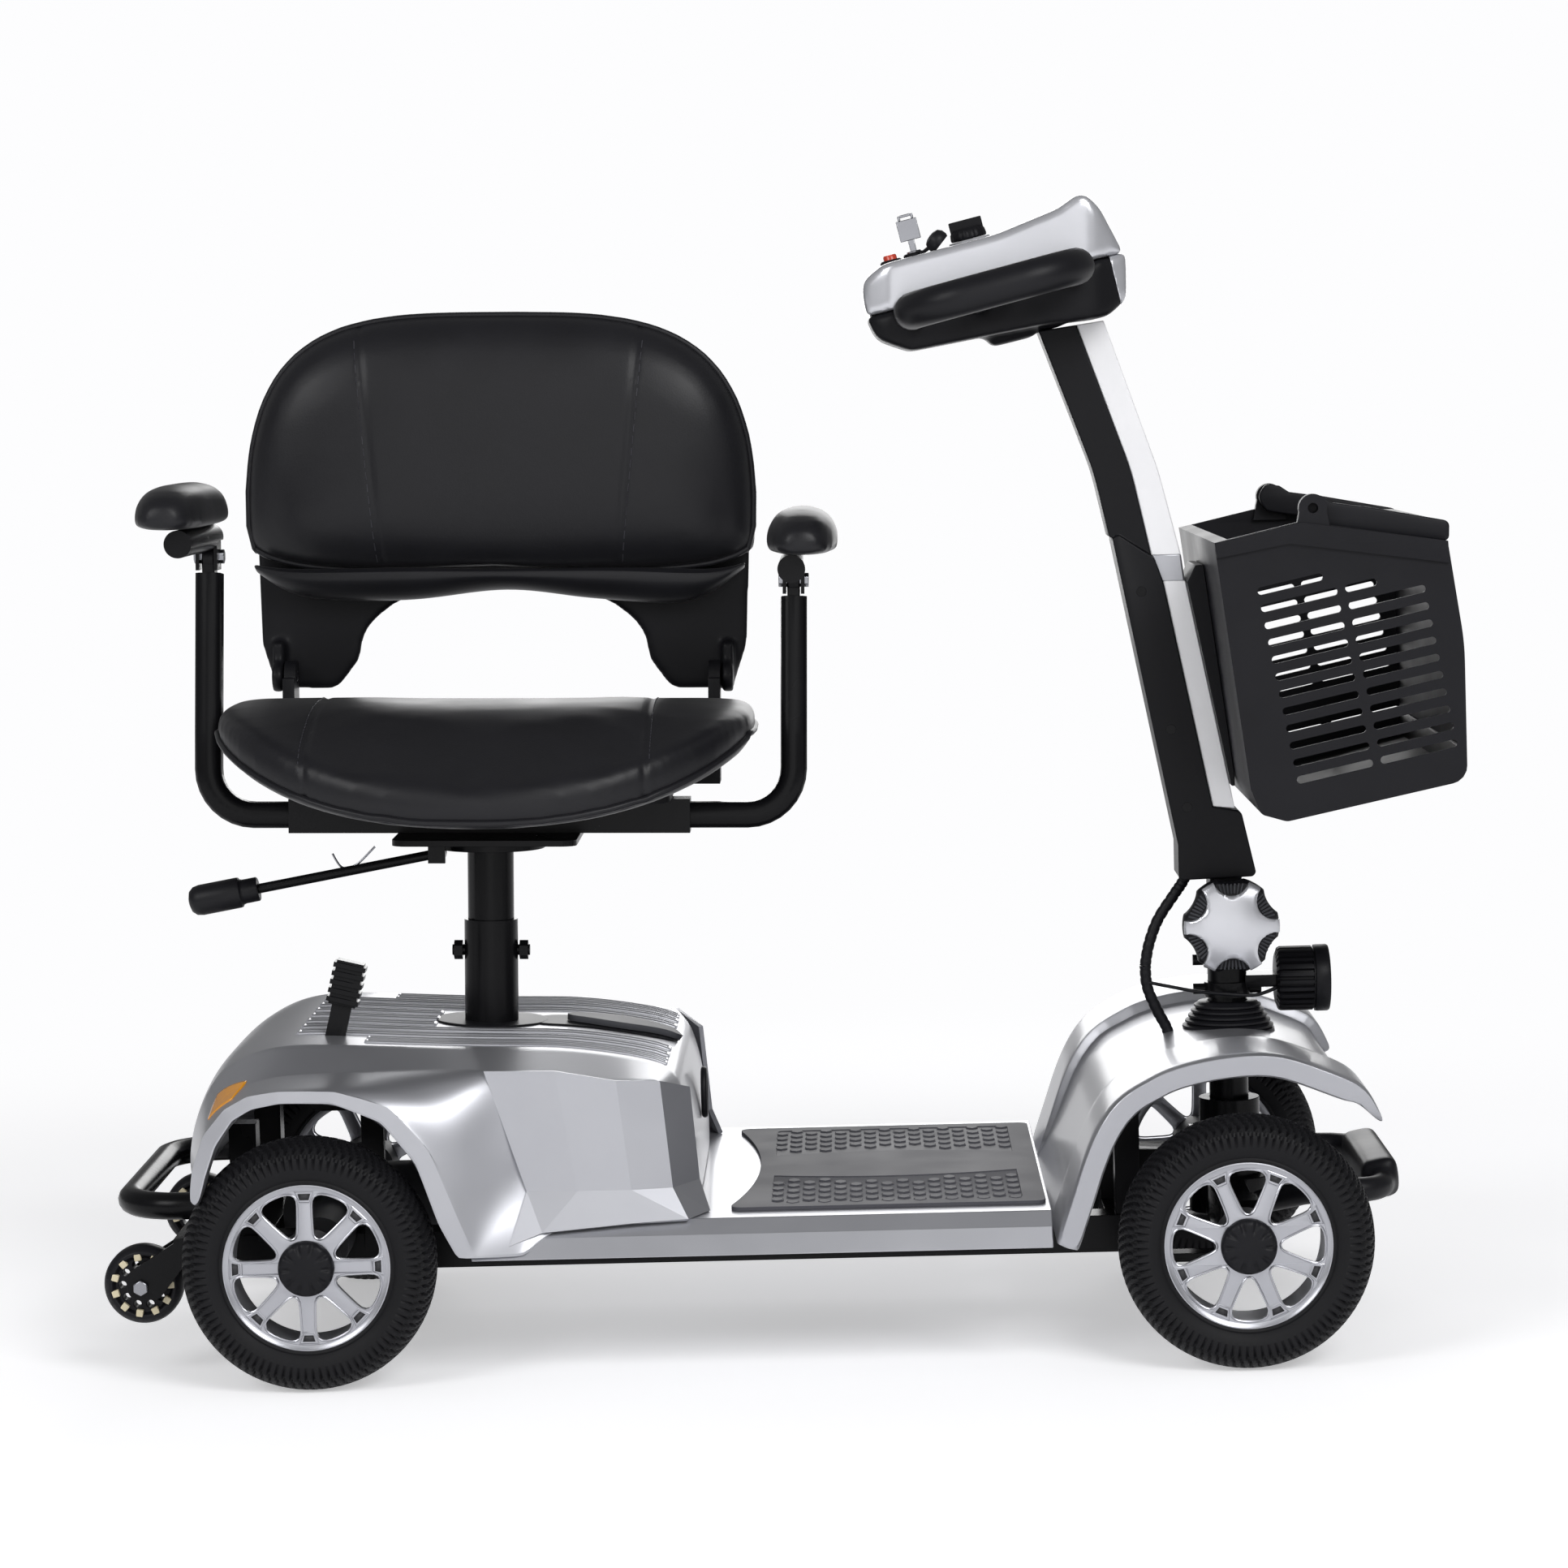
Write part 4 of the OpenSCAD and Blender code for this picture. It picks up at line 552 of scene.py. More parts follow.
class SCOOTER_OT_stage(bpy.types.Operator):
    """Makes the camera, the pale floor and the soft light"""

    bl_idname = "scooter.stage"
    bl_label = "Stage"

    def execute(self, context):
        scene = context.scene
        scene.view_settings.view_transform = "Standard"
        # Camera fitted to the wheels, the mat and the deck
        sensor, focal_pixels, photo_pixels = 36.0, 5550.41, 1932
        yaw, pitch, roll = -0.0153, 0.0886, -0.0266
        ahead = Vector(
            (math.sin(yaw) * math.cos(pitch), math.cos(yaw) * math.cos(pitch), -math.sin(pitch))
        )
        right = Vector((math.cos(yaw), -math.sin(yaw), 0))
        up = right.cross(ahead)
        across = right * math.cos(roll) + up * math.sin(roll)
        upright = -right * math.sin(roll) + up * math.cos(roll)
        lens = bpy.data.cameras.new("photo_camera")
        lens.sensor_width = sensor
        lens.lens = sensor * focal_pixels / photo_pixels
        lens.clip_end = 100
        camera = bpy.data.objects.new("photo_camera", lens)
        turn = Matrix((across, upright, -ahead)).transposed().to_4x4()
        camera.matrix_world = Matrix.Translation((0.06259, -3.69039, 0.77493)) @ turn
        scene.collection.objects.link(camera)
        scene.camera = camera
        # Flat pale floor, which glows a little for the camera and in reflections
        surround, floor_glow, fade_start, fade_end, world_light = "#FDFDFE", 0.42, 0.75, 1.9, 0.22
        floor = bmesh.new()
        bmesh.ops.create_grid(floor, x_segments=24, y_segments=24, size=12.0)
        ground = form_object("floor", floor)
        material = bpy.data.materials.new("pale_floor")
        material.use_nodes = True
        tree = material.node_tree
        tree.nodes.clear()
        surface = add(tree, "ShaderNodeBsdfPrincipled", {"Base Color": linear("#F4F4F6"), "Roughness": 0.9})
        rays = add(tree, "ShaderNodeLightPath").outputs
        direct = rays["Is Camera Ray"]
        seen = add(tree, "ShaderNodeMath", {0: direct, 1: rays["Is Glossy Ray"]}, operation="MAXIMUM")
        glow = add(tree, "ShaderNodeMath", {0: seen.outputs[0], 1: floor_glow}, operation="MULTIPLY")
        bright = add(tree, "ShaderNodeEmission", {"Color": linear(surround), "Strength": glow.outputs[0]})
        lit = add(tree, "ShaderNodeAddShader", {0: surface.outputs[0], 1: bright.outputs[0]})
        # The floor fades to the white of the surround away from the scooter
        place = add(tree, "ShaderNodeTexCoord").outputs["Object"]
        away = add(tree, "ShaderNodeVectorMath", {0: place}, operation="LENGTH").outputs["Value"]
        fade = add(
            tree, "ShaderNodeMapRange", {"Value": away, "From Min": fade_start, "From Max": fade_end},
            interpolation_type="SMOOTHSTEP",
        )
        plain = add(tree, "ShaderNodeEmission", {"Color": linear(surround), "Strength": 1.0})
        share = add(tree, "ShaderNodeMath", {0: fade.outputs["Result"], 1: direct}, operation="MULTIPLY")
        floor_mix = add(
            tree, "ShaderNodeMixShader", {0: share.outputs[0], 1: lit.outputs[0], 2: plain.outputs[0]}
        )
        add(tree, "ShaderNodeOutputMaterial", {"Surface": floor_mix.outputs[0]})
        ground.data.materials.append(material)
        # White surround for the camera, dimmer for the light that falls on the object
        world = bpy.data.worlds.new("studio")
        world.use_nodes = True
        tree = world.node_tree
        tree.nodes.clear()
        rays = add(tree, "ShaderNodeLightPath").outputs
        seen = add(
            tree, "ShaderNodeMath", {0: rays["Is Camera Ray"], 1: rays["Is Transmission Ray"]},
            operation="MAXIMUM",
        )
        strength = add(
            tree, "ShaderNodeMapRange", {"Value": seen.outputs[0], "To Min": world_light, "To Max": 1.0}
        )
        back = add(tree, "ShaderNodeBackground", {"Color": linear(surround), "Strength": strength.outputs[0]})
        add(tree, "ShaderNodeOutputWorld", {"Surface": back.outputs[0]})
        scene.world = world
        lamps = [
            ("key_softbox", (1.7, -3.3, 2.7), (0.1, 0, 0.4), 1.8, 88.0),
            ("left_softbox", (-2.4, -2.8, 2.3), (-0.2, 0, 0.4), 1.6, 50.0),
            ("camera_softbox", (0.0, -4.6, 1.1), (0, 0, 0.4), 2.6, 24.0),
            ("back_softbox", (0.2, 3.4, 1.2), (0, 0, 0.4), 1.8, 32.0),
        ]
        for name, place, target, size, power in lamps:
            light = bpy.data.lights.new(name, "AREA")
            light.size = size
            light.energy = power
            lamp = bpy.data.objects.new(name, light)
            lamp.location = place
            lamp.rotation_euler = (Vector(target) - Vector(place)).to_track_quat("-Z", "Y").to_euler()
            scene.collection.objects.link(lamp)
        return {"FINISHED"}


class SCOOTER_OT_tyres(bpy.types.Operator):
    """Makes the tyres with slanted shoulder grooves"""

    bl_idname = "scooter.tyres"
    bl_label = "Tyres"

    def execute(self, context):
        settings = context.scene.scooter
        steps = 4 * settings.tread_blocks
        depth = settings.tread_depth / MM
        # Radius where the tread starts, and the width over which a groove moves on by one step
        tread_start, slant_step = 81.5, 3.4
        half = [
            (64.2, 20), (65.5, 23.6), (67.5, 24.6), (69.0, 23.8), (72, 26.0), (78, 27.6),
            (83, 27.9), (87, 27.2), (90, 25.6), (92.5, 23.4), (94.8, 20.6), (96.6, 17.4),
            (98.0, 14.0), (98.9, 10.4), (99.5, 6.8), (99.8, 3.4),
        ]
        profile = half + [(100.0, 0.0)] + [(r, -z) for r, z in reversed(half)]
        for end, name, x, side in WHEELS:
            form = lathe(profile, steps)
            for vert in form.verts:
                radius = math.hypot(vert.co.x, vert.co.y)
                width = abs(vert.co.z)
                if radius < tread_start:
                    continue
                index = round(math.atan2(vert.co.y, vert.co.x) / (2 * math.pi) * steps)
                slant = int(width / slant_step)
                groove = (index + (slant if vert.co.z > 0 else slant + 2)) % 4 == 0
                if groove and 5.0 < width:
                    share = min(max((radius - 84) / 13, 0.0), 1.0)
                    vert.co.xy *= (radius - depth * share) / radius
                    vert.co.z -= math.copysign(depth * (1 - share) * min((radius - 81) / 4, 1.0), vert.co.z)
                elif width < 2.0 and index % 4 < 2:
                    vert.co.x *= (radius - depth * 0.7) / radius
                    vert.co.y *= (radius - depth * 0.7) / radius
            node = f"{end}_tyre_{name}"
            moved(form, at_wheel(x, side))
            piece(node + "_finish", form, BODY_OF[node], "tyre_rubber", (node,), sharp=28)
        return {"FINISHED"}


class SCOOTER_OT_rims(bpy.types.Operator):
    """Makes the spoked rims, their pockets and the black hub caps"""

    bl_idname = "scooter.rims"
    bl_label = "Rims"

    def execute(self, context):
        half = [
            (24.6, 0), (25, 2.0), (27, 4.2), (31, 6.4), (40, 10.5), (47, 13.5), (51, 14.8), (54.5, 14.5),
            (57, 12.6), (58.6, 9.6), (59.5, 5.2), (59.8, 0),
        ]
        opening = half + [(r, -w) for r, w in reversed(half[1:-1])]

        dome_rise, dome_reach = 2.6, 60

        def dome(u, v):
            """Rise of the rim's domed face at a place."""
            return dome_rise * math.cos(min(math.hypot(u, v) / dome_reach, 1) * math.pi / 2)

        def pockets(turn, inner, outer, height):
            """Trapezoids at the outer ends of the spokes, from two pairs of reach and half width."""
            form = bmesh.new()
            for i in range(SPOKES):
                made = bmesh.ops.create_grid(form, x_segments=1, y_segments=1, size=1.0)["verts"]
                for vert in made:
                    reach, wide = outer if vert.co.x > 0 else inner
                    vert.co = (reach, math.copysign(wide, vert.co.y), height)
                a = turn + math.radians(22.5 + 45 * i)
                bmesh.ops.transform(form, matrix=Matrix.Rotation(a, 4, "Z"), verts=made)
            return form

        for end, name, x, side in WHEELS:
            node = f"{end}_rim_{name}"
            body = BODY_OF[node]
            turn = math.radians(22.5) if (end, side) in (("rear", -1), ("front", 1)) else 0.0
            place = at_wheel(x, side)
            holes = []
            for i in range(SPOKES):
                a = turn + math.radians(45) * i
                c, s = math.cos(a), math.sin(a)
                holes.append([(r * c - w * s, r * s + w * c) for r, w in opening])
            face = plate([circle(62.5), *holes], 9.0, 1.3)
            for vert in face.verts:
                vert.co.z += 17.0 + dome(vert.co.x, vert.co.y)
            piece(
                f"{node}_face", moved(face, place), body, "silver_paint_on_rims", (node,), sharp=40
            )
            ring = lathe(
                [(60.0, -21), (60.0, 12), (60.4, 20.4), (61.2, 21.9), (62.8, 22.4), (64.6, 23.6),
                 (66.0, 23.2), (66.0, 20.5), (64.1, 19.8), (64.1, -19.8), (66.0, -20.5), (66.0, -23.2),
                 (64.0, -23.4), (60.0, -21)],
                96,
            )
            piece(f"{node}_ring", moved(ring, place), body, "silver_paint_on_rims", sharp=40)
            hub = lathe([(8.1, -12), (24, -12), (25.5, 0), (25.5, 20), (8.1, 20), (8.1, -12)], 48)
            piece(f"{node}_hub", moved(hub, place), body, "cast_motor_housing", sharp=40)
            # Pockets, drawn as raised frames round dark patches, which are painted shade on the floor of each
            # pocket
            frames = pockets(turn, (50.5, 4.6), (60.4, 8.2), 21.8)
            inner = list(frames.faces)
            bmesh.ops.inset_individual(frames, faces=inner, thickness=1.1, depth=0.35)
            bmesh.ops.inset_individual(frames, faces=inner, thickness=0.7, depth=-0.9)
            # Painted shade: dark patches where the floor of each pocket lies in shadow
            shade_patches = pockets(turn, (53.4, 3.6), (58.2, 4.9), 22.2)
            for form in (frames, shade_patches):
                for vert in form.verts:
                    vert.co.z += dome(vert.co.x, vert.co.y)
                moved(form, place)
            piece(f"{node}_pockets", frames, body, "silver_paint_on_rims", sharp=30)
            piece(f"{node}_pocket_shade_patches", shade_patches, body, "cast_motor_housing", solid=0.3)
            # Raised bead round each opening
            beads = [[place @ Vector((u, v, 21.4 + dome(u, v))) for u, v in hole] for hole in holes]
            dress(tube_mesh(f"{node}_beads", beads, 0.9, 8, True), body, "silver_paint_on_rims")
            cap = lathe(
                [(21.6, 19.0), (21.9, 26.0), (21.2, 29.0), (19.6, 30.9), (17.0, 31.6), (13.6, 31.7),
                 (11.6, 31.5), (8.0, 31.9), (0.01, 32.1)],
                96,
            )
            for vert in cap.verts:
                radius = math.hypot(vert.co.x, vert.co.y)
                angle = math.atan2(vert.co.y, vert.co.x)
                if 12.5 < radius < 21.4:
                    vert.co.z -= 2.6 * max(0.0, math.cos(10 * angle) - 0.2)
            piece(
                f"{end}_hub_cap_{name}", moved(cap, place), body, "charcoal_moulded_abs",
                sharp=50,
            )
        return {"FINISHED"}


class SCOOTER_OT_rear_cover(bpy.types.Operator):
    """Makes the rear cover with its wheel arches, ribbed top and small parts"""

    bl_idname = "scooter.rear_cover"
    bl_label = "Rear Cover"

    def execute(self, context):
        # Rows run from the middle of the top out to the wheel arch, each from the tail to the front
        top = [
            (-474, 148), (-479, 172), (-472, 208), (-455, 242), (-428, 259), (-392, 266), (-345, 263),
            (-300, 260), (-270, 258.5), (-250, 257.5), (-225, 256.5), (-200, 256), (-173, 255), (-130, 249),
            (-92, 241), (-80, 231), (-71, 195), (-68, 160), (-66, 128),
        ]
        edge = [
            (-470, 150, 148), (-474, 150, 172), (-467, 150, 207), (-450, 151, 240), (-425, 153, 256.5),
            (-392, 154, 264), (-345, 154, 262), (-300, 154, 259.5), (-270, 154, 258), (-250, 154, 257),
            (-225, 154, 256), (-200, 154, 255.5), (-173, 154, 254.5), (-130, 152, 248.5), (-93, 150, 240.5),
            (-81, 148, 230), (-72, 146, 195), (-69, 146, 160), (-67, 146, 128),
        ]
        belt = [
            (-460, 222, 151), (-459, 224, 176), (-452, 219, 205), (-437, 209, 230), (-416, 198, 241),
            (-390, 191, 244.5), (-345, 190, 245), (-300, 190, 245.5), (-270, 192, 246), (-250, 198, 246.5),
            (-225, 208, 246), (-200, 214, 244), (-173, 213, 243), (-126, 210, 234), (-96, 204, 238),
            (-90, 198, 229), (-82, 192, 198), (-79, 190, 160), (-77, 192, 129),
        ]
        # The shoulder is a flat facet between the top's edge and the belt line
        shoulder = [tuple((a + b) / 2 for a, b in zip(p, q)) for p, q in zip(edge, belt)]
        under = [
            (-459, 230, 152), (-457, 231, 177), (-449.5, 230, 203.5), (-434, 224, 227), (-414, 216, 238.5),
            (-389, 212, 242), (-345, 212, 242.6), (-301, 212, 242.3), (-270, 214, 241.5), (-250, 218, 240.5),
            (-225, 213, 240), (-200, 209, 238), (-172, 209, 237), (-124, 206, 228), (-99, 200, 231),
            (-94, 196, 222), (-90, 194, 196), (-88, 194, 160), (-87, 197, 130),
        ]
        side = [
            (-460, 234, 152.5), (-457, 235, 178), (-448.5, 235.5, 204), (-432, 234, 225.5),
            (-413, 232, 236.5), (-389, 231, 240.5), (-345, 231, 240.8), (-302, 231, 236),
            (-270, 232.5, 222), (-250, 230, 206), (-225, 217, 200), (-201, 208, 200), (-172, 208, 200),
            (-118, 205, 200), (-108, 203, 199), (-106, 202, 192), (-104, 201, 180), (-103, 201, 160),
            (-102, 204, 131),
        ]
        low = [
            (-461, 236, 153), (-457.5, 237, 179), (-448.5, 237.5, 205), (-431.5, 238, 225.5),
            (-413, 238, 235.5), (-389, 238, 239.3), (-345, 238, 238.8), (-303, 238, 227),
            (-272, 238, 197), (-252, 235, 160), (-226, 221, 150), (-204, 210, 152), (-172, 209, 152),
            (-130, 207, 152), (-118, 205, 152), (-116, 205, 152), (-114, 205, 151), (-113, 205, 148),
            (-112, 207, 133),
        ]
        lip = [
            (-462, 237.5, 153.5), (-458, 238.5, 180), (-448.5, 238.5, 206), (-431.5, 238.7, 226),
            (-413, 238.8, 235.8), (-389, 239, 239), (-345, 239, 238), (-303.5, 239, 225), (-273, 239, 190),
            (-254, 239, 140), (-241, 237.5, 106), (-203, 235, 107), (-172, 216, 125), (-140, 215, 125),
            (-126, 215, 125), (-124, 215, 125), (-122, 215, 125), (-120, 215, 125), (-118, 215, 125),
        ]
        roll = [
            (-454, 240.5, 149), (-448, 241, 172), (-439, 241, 197), (-425, 241, 217), (-410, 241, 225.5),
            (-388, 241, 229.5), (-347, 241, 228.5), (-310, 241, 213), (-284, 241, 180), (-268, 241, 132),
            (-254, 239, 104), (-203, 234.5, 104), (-171, 214, 122.5), (-140, 213, 122.5), (-126, 213, 122.5),
            (-124, 213, 122.5), (-122, 213, 122.5), (-120, 213, 122.5), (-118, 213, 122.5),
        ]
        hem = [(x + 1, y - 20, z - 1) if i < 11 else (x, y - 6, z - 0.5) for i, (x, y, z) in enumerate(roll)]
        half = [edge, shoulder, belt, under, side, low, lip, roll, hem]
        middle = [[(x, 0, z) for x, z in top], [(x, 90, z) for x, z in top]]
        left = middle + half
        rows = [[(x, -y, z) for x, y, z in row] for row in reversed(left[1:])] + left
        form = sheet_grid(rows)
        face_along(form, Vector((0, 0, 1)))

        def lookup(points):
            """The set of places, rounded so that a vertex can be found in it."""
            return {tuple(round(c, 2) for c in p) for p in points}

        marks = lookup(edge + lip + roll)
        soft = lookup(belt[3:])
        ridge = lookup([row[k] for row in (under, side, low) for k in (11, 13)])
        for lines, amount in ((ridge, 0.8), (soft, 0.95), (marks, 0.95)):
            crease(form, lambda c: (round(c.x, 2), round(abs(c.y), 2), round(c.z, 2)) in lines, amount)
        shell = piece(
            "rear_cover_shell", form, "chassis", "silver_paint_on_abs", ("rear_cover",),
            sharp=11, solid=3.0, subsurf=3, crisp=True,
        )
        tree = BVHTree.FromObject(shell, bpy.context.evaluated_depsgraph_get())
        # Flat facets of the side panel, round its front corner and flared out to the sill
        panel = [
            [(-231, 213.5, 247), (-176, 214.5, 246), (-128, 213, 237), (-94, 206, 235), (-72, 168, 224)],
            [(-200, 217, 152), (-160, 217.7, 151.5), (-118, 216.1, 151), (-86, 209.4, 151),
             (-66, 172.7, 151)],
            [(-214, 234, 112), (-188, 228, 121), (-118, 223.5, 126), (-74, 221, 128), (-58, 186, 128)],
        ]
        for sign, name in ((-1, "right"), (1, "left")):
            facets = sheet_grid([[(x, sign * y, z) for x, y, z in row] for row in panel])
            face_along(facets, Vector((0, sign, 0)))
            faceted = piece(
                f"rear_side_panel_{name}", facets, "chassis", "silver_paint_on_abs", solid=4.0
            )
            faceted.data.shade_flat()
        # Ribs along the flat top, each following the surface below it, broken round the post and the handle
        ribs = bmesh.new()

        def over(x, y):
            """The cover's surface straight below a place, in millimetres."""
            hit = tree.ray_cast(Vector((x, y, 320)) * MM, Vector((0, 0, -1)), 0.3)[0]
            return hit / MM

        pairs = [(32 * k, 5.5, -388, -285 if abs(k) < 2 else -92, 2.2) for k in range(-3, 4)]
        bands = [(sign * y, 4.0, -330, -92, 1.7) for sign in (-1, 1) for y in (119, 135)]
        for y, offset, start, end, radius in pairs + bands:
            for shift in (-offset, offset):
                line = [over(start + (end - start) * i / 30, y + shift) for i in range(31)]
                for a, b in zip(line, line[1:]):
                    rod(ribs, a, b, radius, 8)
            for x in (start, end):
                rod(ribs, over(x, y - offset), over(x, y + offset), radius, 8)
        bmesh.ops.remove_doubles(ribs, verts=ribs.verts, dist=0.01)
        piece("rear_cover_ribs", ribs, "chassis", "silver_paint_on_abs", sharp=50)

        def on_top(low, high, half, lift):
            """A patch on the cover's top between two X places, with a half width from a function."""
            steps = [i / 24 for i in range(25)]
            return sheet_grid([
                [over(low + (high - low) * t, half(t) * k / 5) + Vector((0, 0, lift)) for t in steps]
                for k in range(-5, 6)
            ])

        # Painted shade of the recess under the battery handle, drawn as a dark sheet laid on the cover, and
        # the handle with its finger grip
        pan = on_top(-207, -87, lambda t: 27 * (1 - abs(2 * t - 1) ** 6) ** 0.5 + 3, 0.5)
        piece(
            "battery_handle_recess_shade", pan, "chassis", "charcoal_moulded_abs",
            sharp=60, solid=-0.6,
        )

        def grip_half(t):
            """Half width of the handle, from its pivot to its end."""
            return (11 + 9 * math.sin(math.pi * t) ** 2) * (1 - abs(2 * t - 1) ** 8) ** 0.5 + 1

        grip = on_top(-178, -86, grip_half, 1.6)
        piece(
            "battery_handle_finish", grip, "battery_handle", "grey_moulded_abs", ("battery_handle",),
            sharp=40, solid=-5.0, bevel=1.0,
        )
        # Dark rim of the hole that the seat post comes through
        rim = on_top(-287, -194, lambda t: 46 * max(1 - (2 * t - 1) ** 2, 0) ** 0.5 + 0.3, 0.4)
        piece("post_hole_rim", rim, "chassis", "charcoal_moulded_abs", sharp=60, solid=-0.8)
        # Amber diamond reflectors on the tail's corners
        for sign, name in ((-1, "right"), (1, "left")):
            patch = bmesh.new()
            centre, normal, _, _ = tree.find_nearest(Vector((-440, sign * 205, 236)) * MM)
            across = normal.cross(Vector((0, 0, 1))).normalized()
            rise = normal.cross(across)
            made = bmesh.ops.create_grid(patch, x_segments=12, y_segments=12, size=1.0)["verts"]
            for vert in made:
                u, v = (vert.co.x + vert.co.y) / 2, (vert.co.x - vert.co.y) / 2
                place, facing, _, _ = tree.find_nearest(centre + (across * u * 19 + rise * v * 23) * MM)
                vert.co = place / MM + facing * 0.8
            face_along(patch, normal)
            piece(
                f"tail_reflector_{name}", patch, "chassis", "amber_reflector",
                sharp=60, solid=1.2,
            )
        # Rubber ring of the charge port
        angles = [math.radians(15 * i) for i in range(24)]
        ring = [Vector((-66.5, 13.5 * math.cos(a), 193 + 19 * math.sin(a))) for a in angles]
        tube("charge_port_ring", ring, 2.6, "chassis", "black_foam_rubber", closed=True)
        return {"FINISHED"}


class SCOOTER_OT_front_cover(bpy.types.Operator):
    """Makes the front cover with its raised fenders and rolled edges"""

    bl_idname = "scooter.front_cover"
    bl_label = "Front Cover"

    def execute(self, context):
        path = curve_line(
            [(211, 0, 104), (226.5, 0, 143), (243, 0, 183), (257, 0, 206.5), (273, 0, 224), (295, 0, 237.5),
             (320, 0, 245), (345, 0, 249), (370, 0, 250.5), (394, 0, 247.5), (424, 0, 236.5), (448, 0, 225.5),
             (459, 0, 213), (467, 0, 195)], 2
        )
        last = len(path) - 1
        inward = []
        for k in range(len(path)):
            ahead = (path[min(k + 1, last)] - path[max(k - 1, 0)]).normalized()
            inward.append(Vector((ahead.z, 0, -ahead.x)))
        channel = [0.0, 2.0, 4.0, 4.0, 4.0, 4.5, 5.0, 6.0, 8.0] + [10.0] * (len(path) - 11) + [9.0, 7.0]
        raised = [0.0, 1.0, 2.0, 3.5, 4.0, 4.0, 4.0, 3.0, 1.5] + [0.0] * (len(path) - 9)
        lip = [1.0] * (len(path) - 5) + [0.95, 0.8, 0.6, 0.4, 0.2]

        def row(y, sunk, share):
            """The side line at a distance from the middle, sunk in the channel and turned in at the lip."""
            return [
                p + n * (c * sunk - up * (1 - sunk) + t * share) + Vector((0, y, 0))
                for p, n, c, up, t in zip(path, inward, channel, raised, lip)
            ]

        half = [
            row(0, 1, 0), row(80, 1, 0), row(131, 1, 0), row(136, 0.9, 0), row(140, 0.1, 0), row(146, 0, 0),
            row(190, 0, 0), row(228, 0, 0), row(234.5, 0, 0.4), row(238.5, 0, 2.6), row(235, 0, 18.0),
            row(231, 0, 20.0), row(222, 0, 19.0),
        ]
        rows = [[Vector((p.x, -p.y, p.z)) for p in r] for r in reversed(half[1:])] + half
        form = sheet_grid(rows)
        face_along(form, Vector((0, 0, 1)))
        for lines, amount in (((238.5, 235), 0.85), ((136, 140), 0.6)):
            crease(form, lambda c: min(abs(abs(c.y) - y) for y in lines) < 0.1, amount)
        piece(
            "front_cover_shell", form, "chassis", "silver_paint_on_abs", ("front_cover",),
            sharp=14, solid=3.0, subsurf=3, crisp=True,
        )
        return {"FINISHED"}


class SCOOTER_OT_knob(bpy.types.Operator):
    """Makes the tilt knob with its lobed silver cap and ribbed rubber"""

    bl_idname = "scooter.knob"
    bl_label = "Tilt Knob"

    def execute(self, context):
        place = Matrix.Translation((STEER_X, 0, TILT_Z)) @ Matrix.Rotation(math.pi / 2, 4, "X")

        def edge(angle, reach, centre, bite):
            """Radius of an outline of that reach with six round bites."""
            turn = abs(angle % (math.pi / 3) - math.pi / 6)
            inside = bite**2 - (centre * math.sin(turn)) ** 2
            near = centre * math.cos(turn) - math.sqrt(inside) if inside > 0 else reach
            return min(reach, near)

        cap = lathe(
            [(38.5, 56), (39.0, 58.5), (38.2, 60.2), (36, 61.3), (34, 62.2), (31, 63.2), (28, 64.0),
             (25, 64.7), (21, 65.4), (13, 66.2), (6, 66.5), (0.01, 66.5)],
            180,
        )
        for vert in cap.verts:
            radius = math.hypot(vert.co.x, vert.co.y)
            reach = edge(math.atan2(vert.co.y, vert.co.x), 39.0, 40.0, 14.5)
            if radius > reach:
                vert.co.xy *= reach / radius
                vert.co.z = max(vert.co.z - 0.12 * (radius - reach), 56)
        piece(
            "tilt_knob_cap", moved(cap, place), "knob", "silver_paint_on_console", sharp=60
        )
        body = lathe(
            [(6, -35.5), (6, 27.5), (17, 27.5), (17, 35.5), (33, 36.5), (38.5, 40), (39.4, 46), (38.8, 54),
             (36.5, 57.4), (30, 58.6), (20, 59.5), (0.01, 60)],
            180,
        )
        for vert in body.verts:
            radius = math.hypot(vert.co.x, vert.co.y)
            if radius > 20:
                share = edge(math.atan2(vert.co.y, vert.co.x), 39.4, 62.0, 26.5) / 39.4
                vert.co.x *= 1 - (1 - share) * (radius - 20) / 19.4
                vert.co.y *= 1 - (1 - share) * (radius - 20) / 19.4
        ribs = bmesh.new()
        for i in range(6):
            for k in range(-3, 4):
                a = math.radians(60 * i + 30 + 5.2 * k)
                reach = 34.5 + 0.5 * abs(k)
                c, s = math.cos(a), math.sin(a)
                rod(ribs, (27 * c, 27 * s, 59.4), (reach * c, reach * s, 57.6), 0.8, 8)
        rod(body, (0, 0, -35.5), (0, 0, -27.5), 10, 24)
        piece("tilt_knob_ribs", moved(ribs, place), "knob", "grey_moulded_abs", sharp=45)
        moved(body, place)
        piece("tilt_knob_rubber", body, "knob", "black_foam_rubber", ("tilt_knob",), sharp=45)
        return {"FINISHED"}


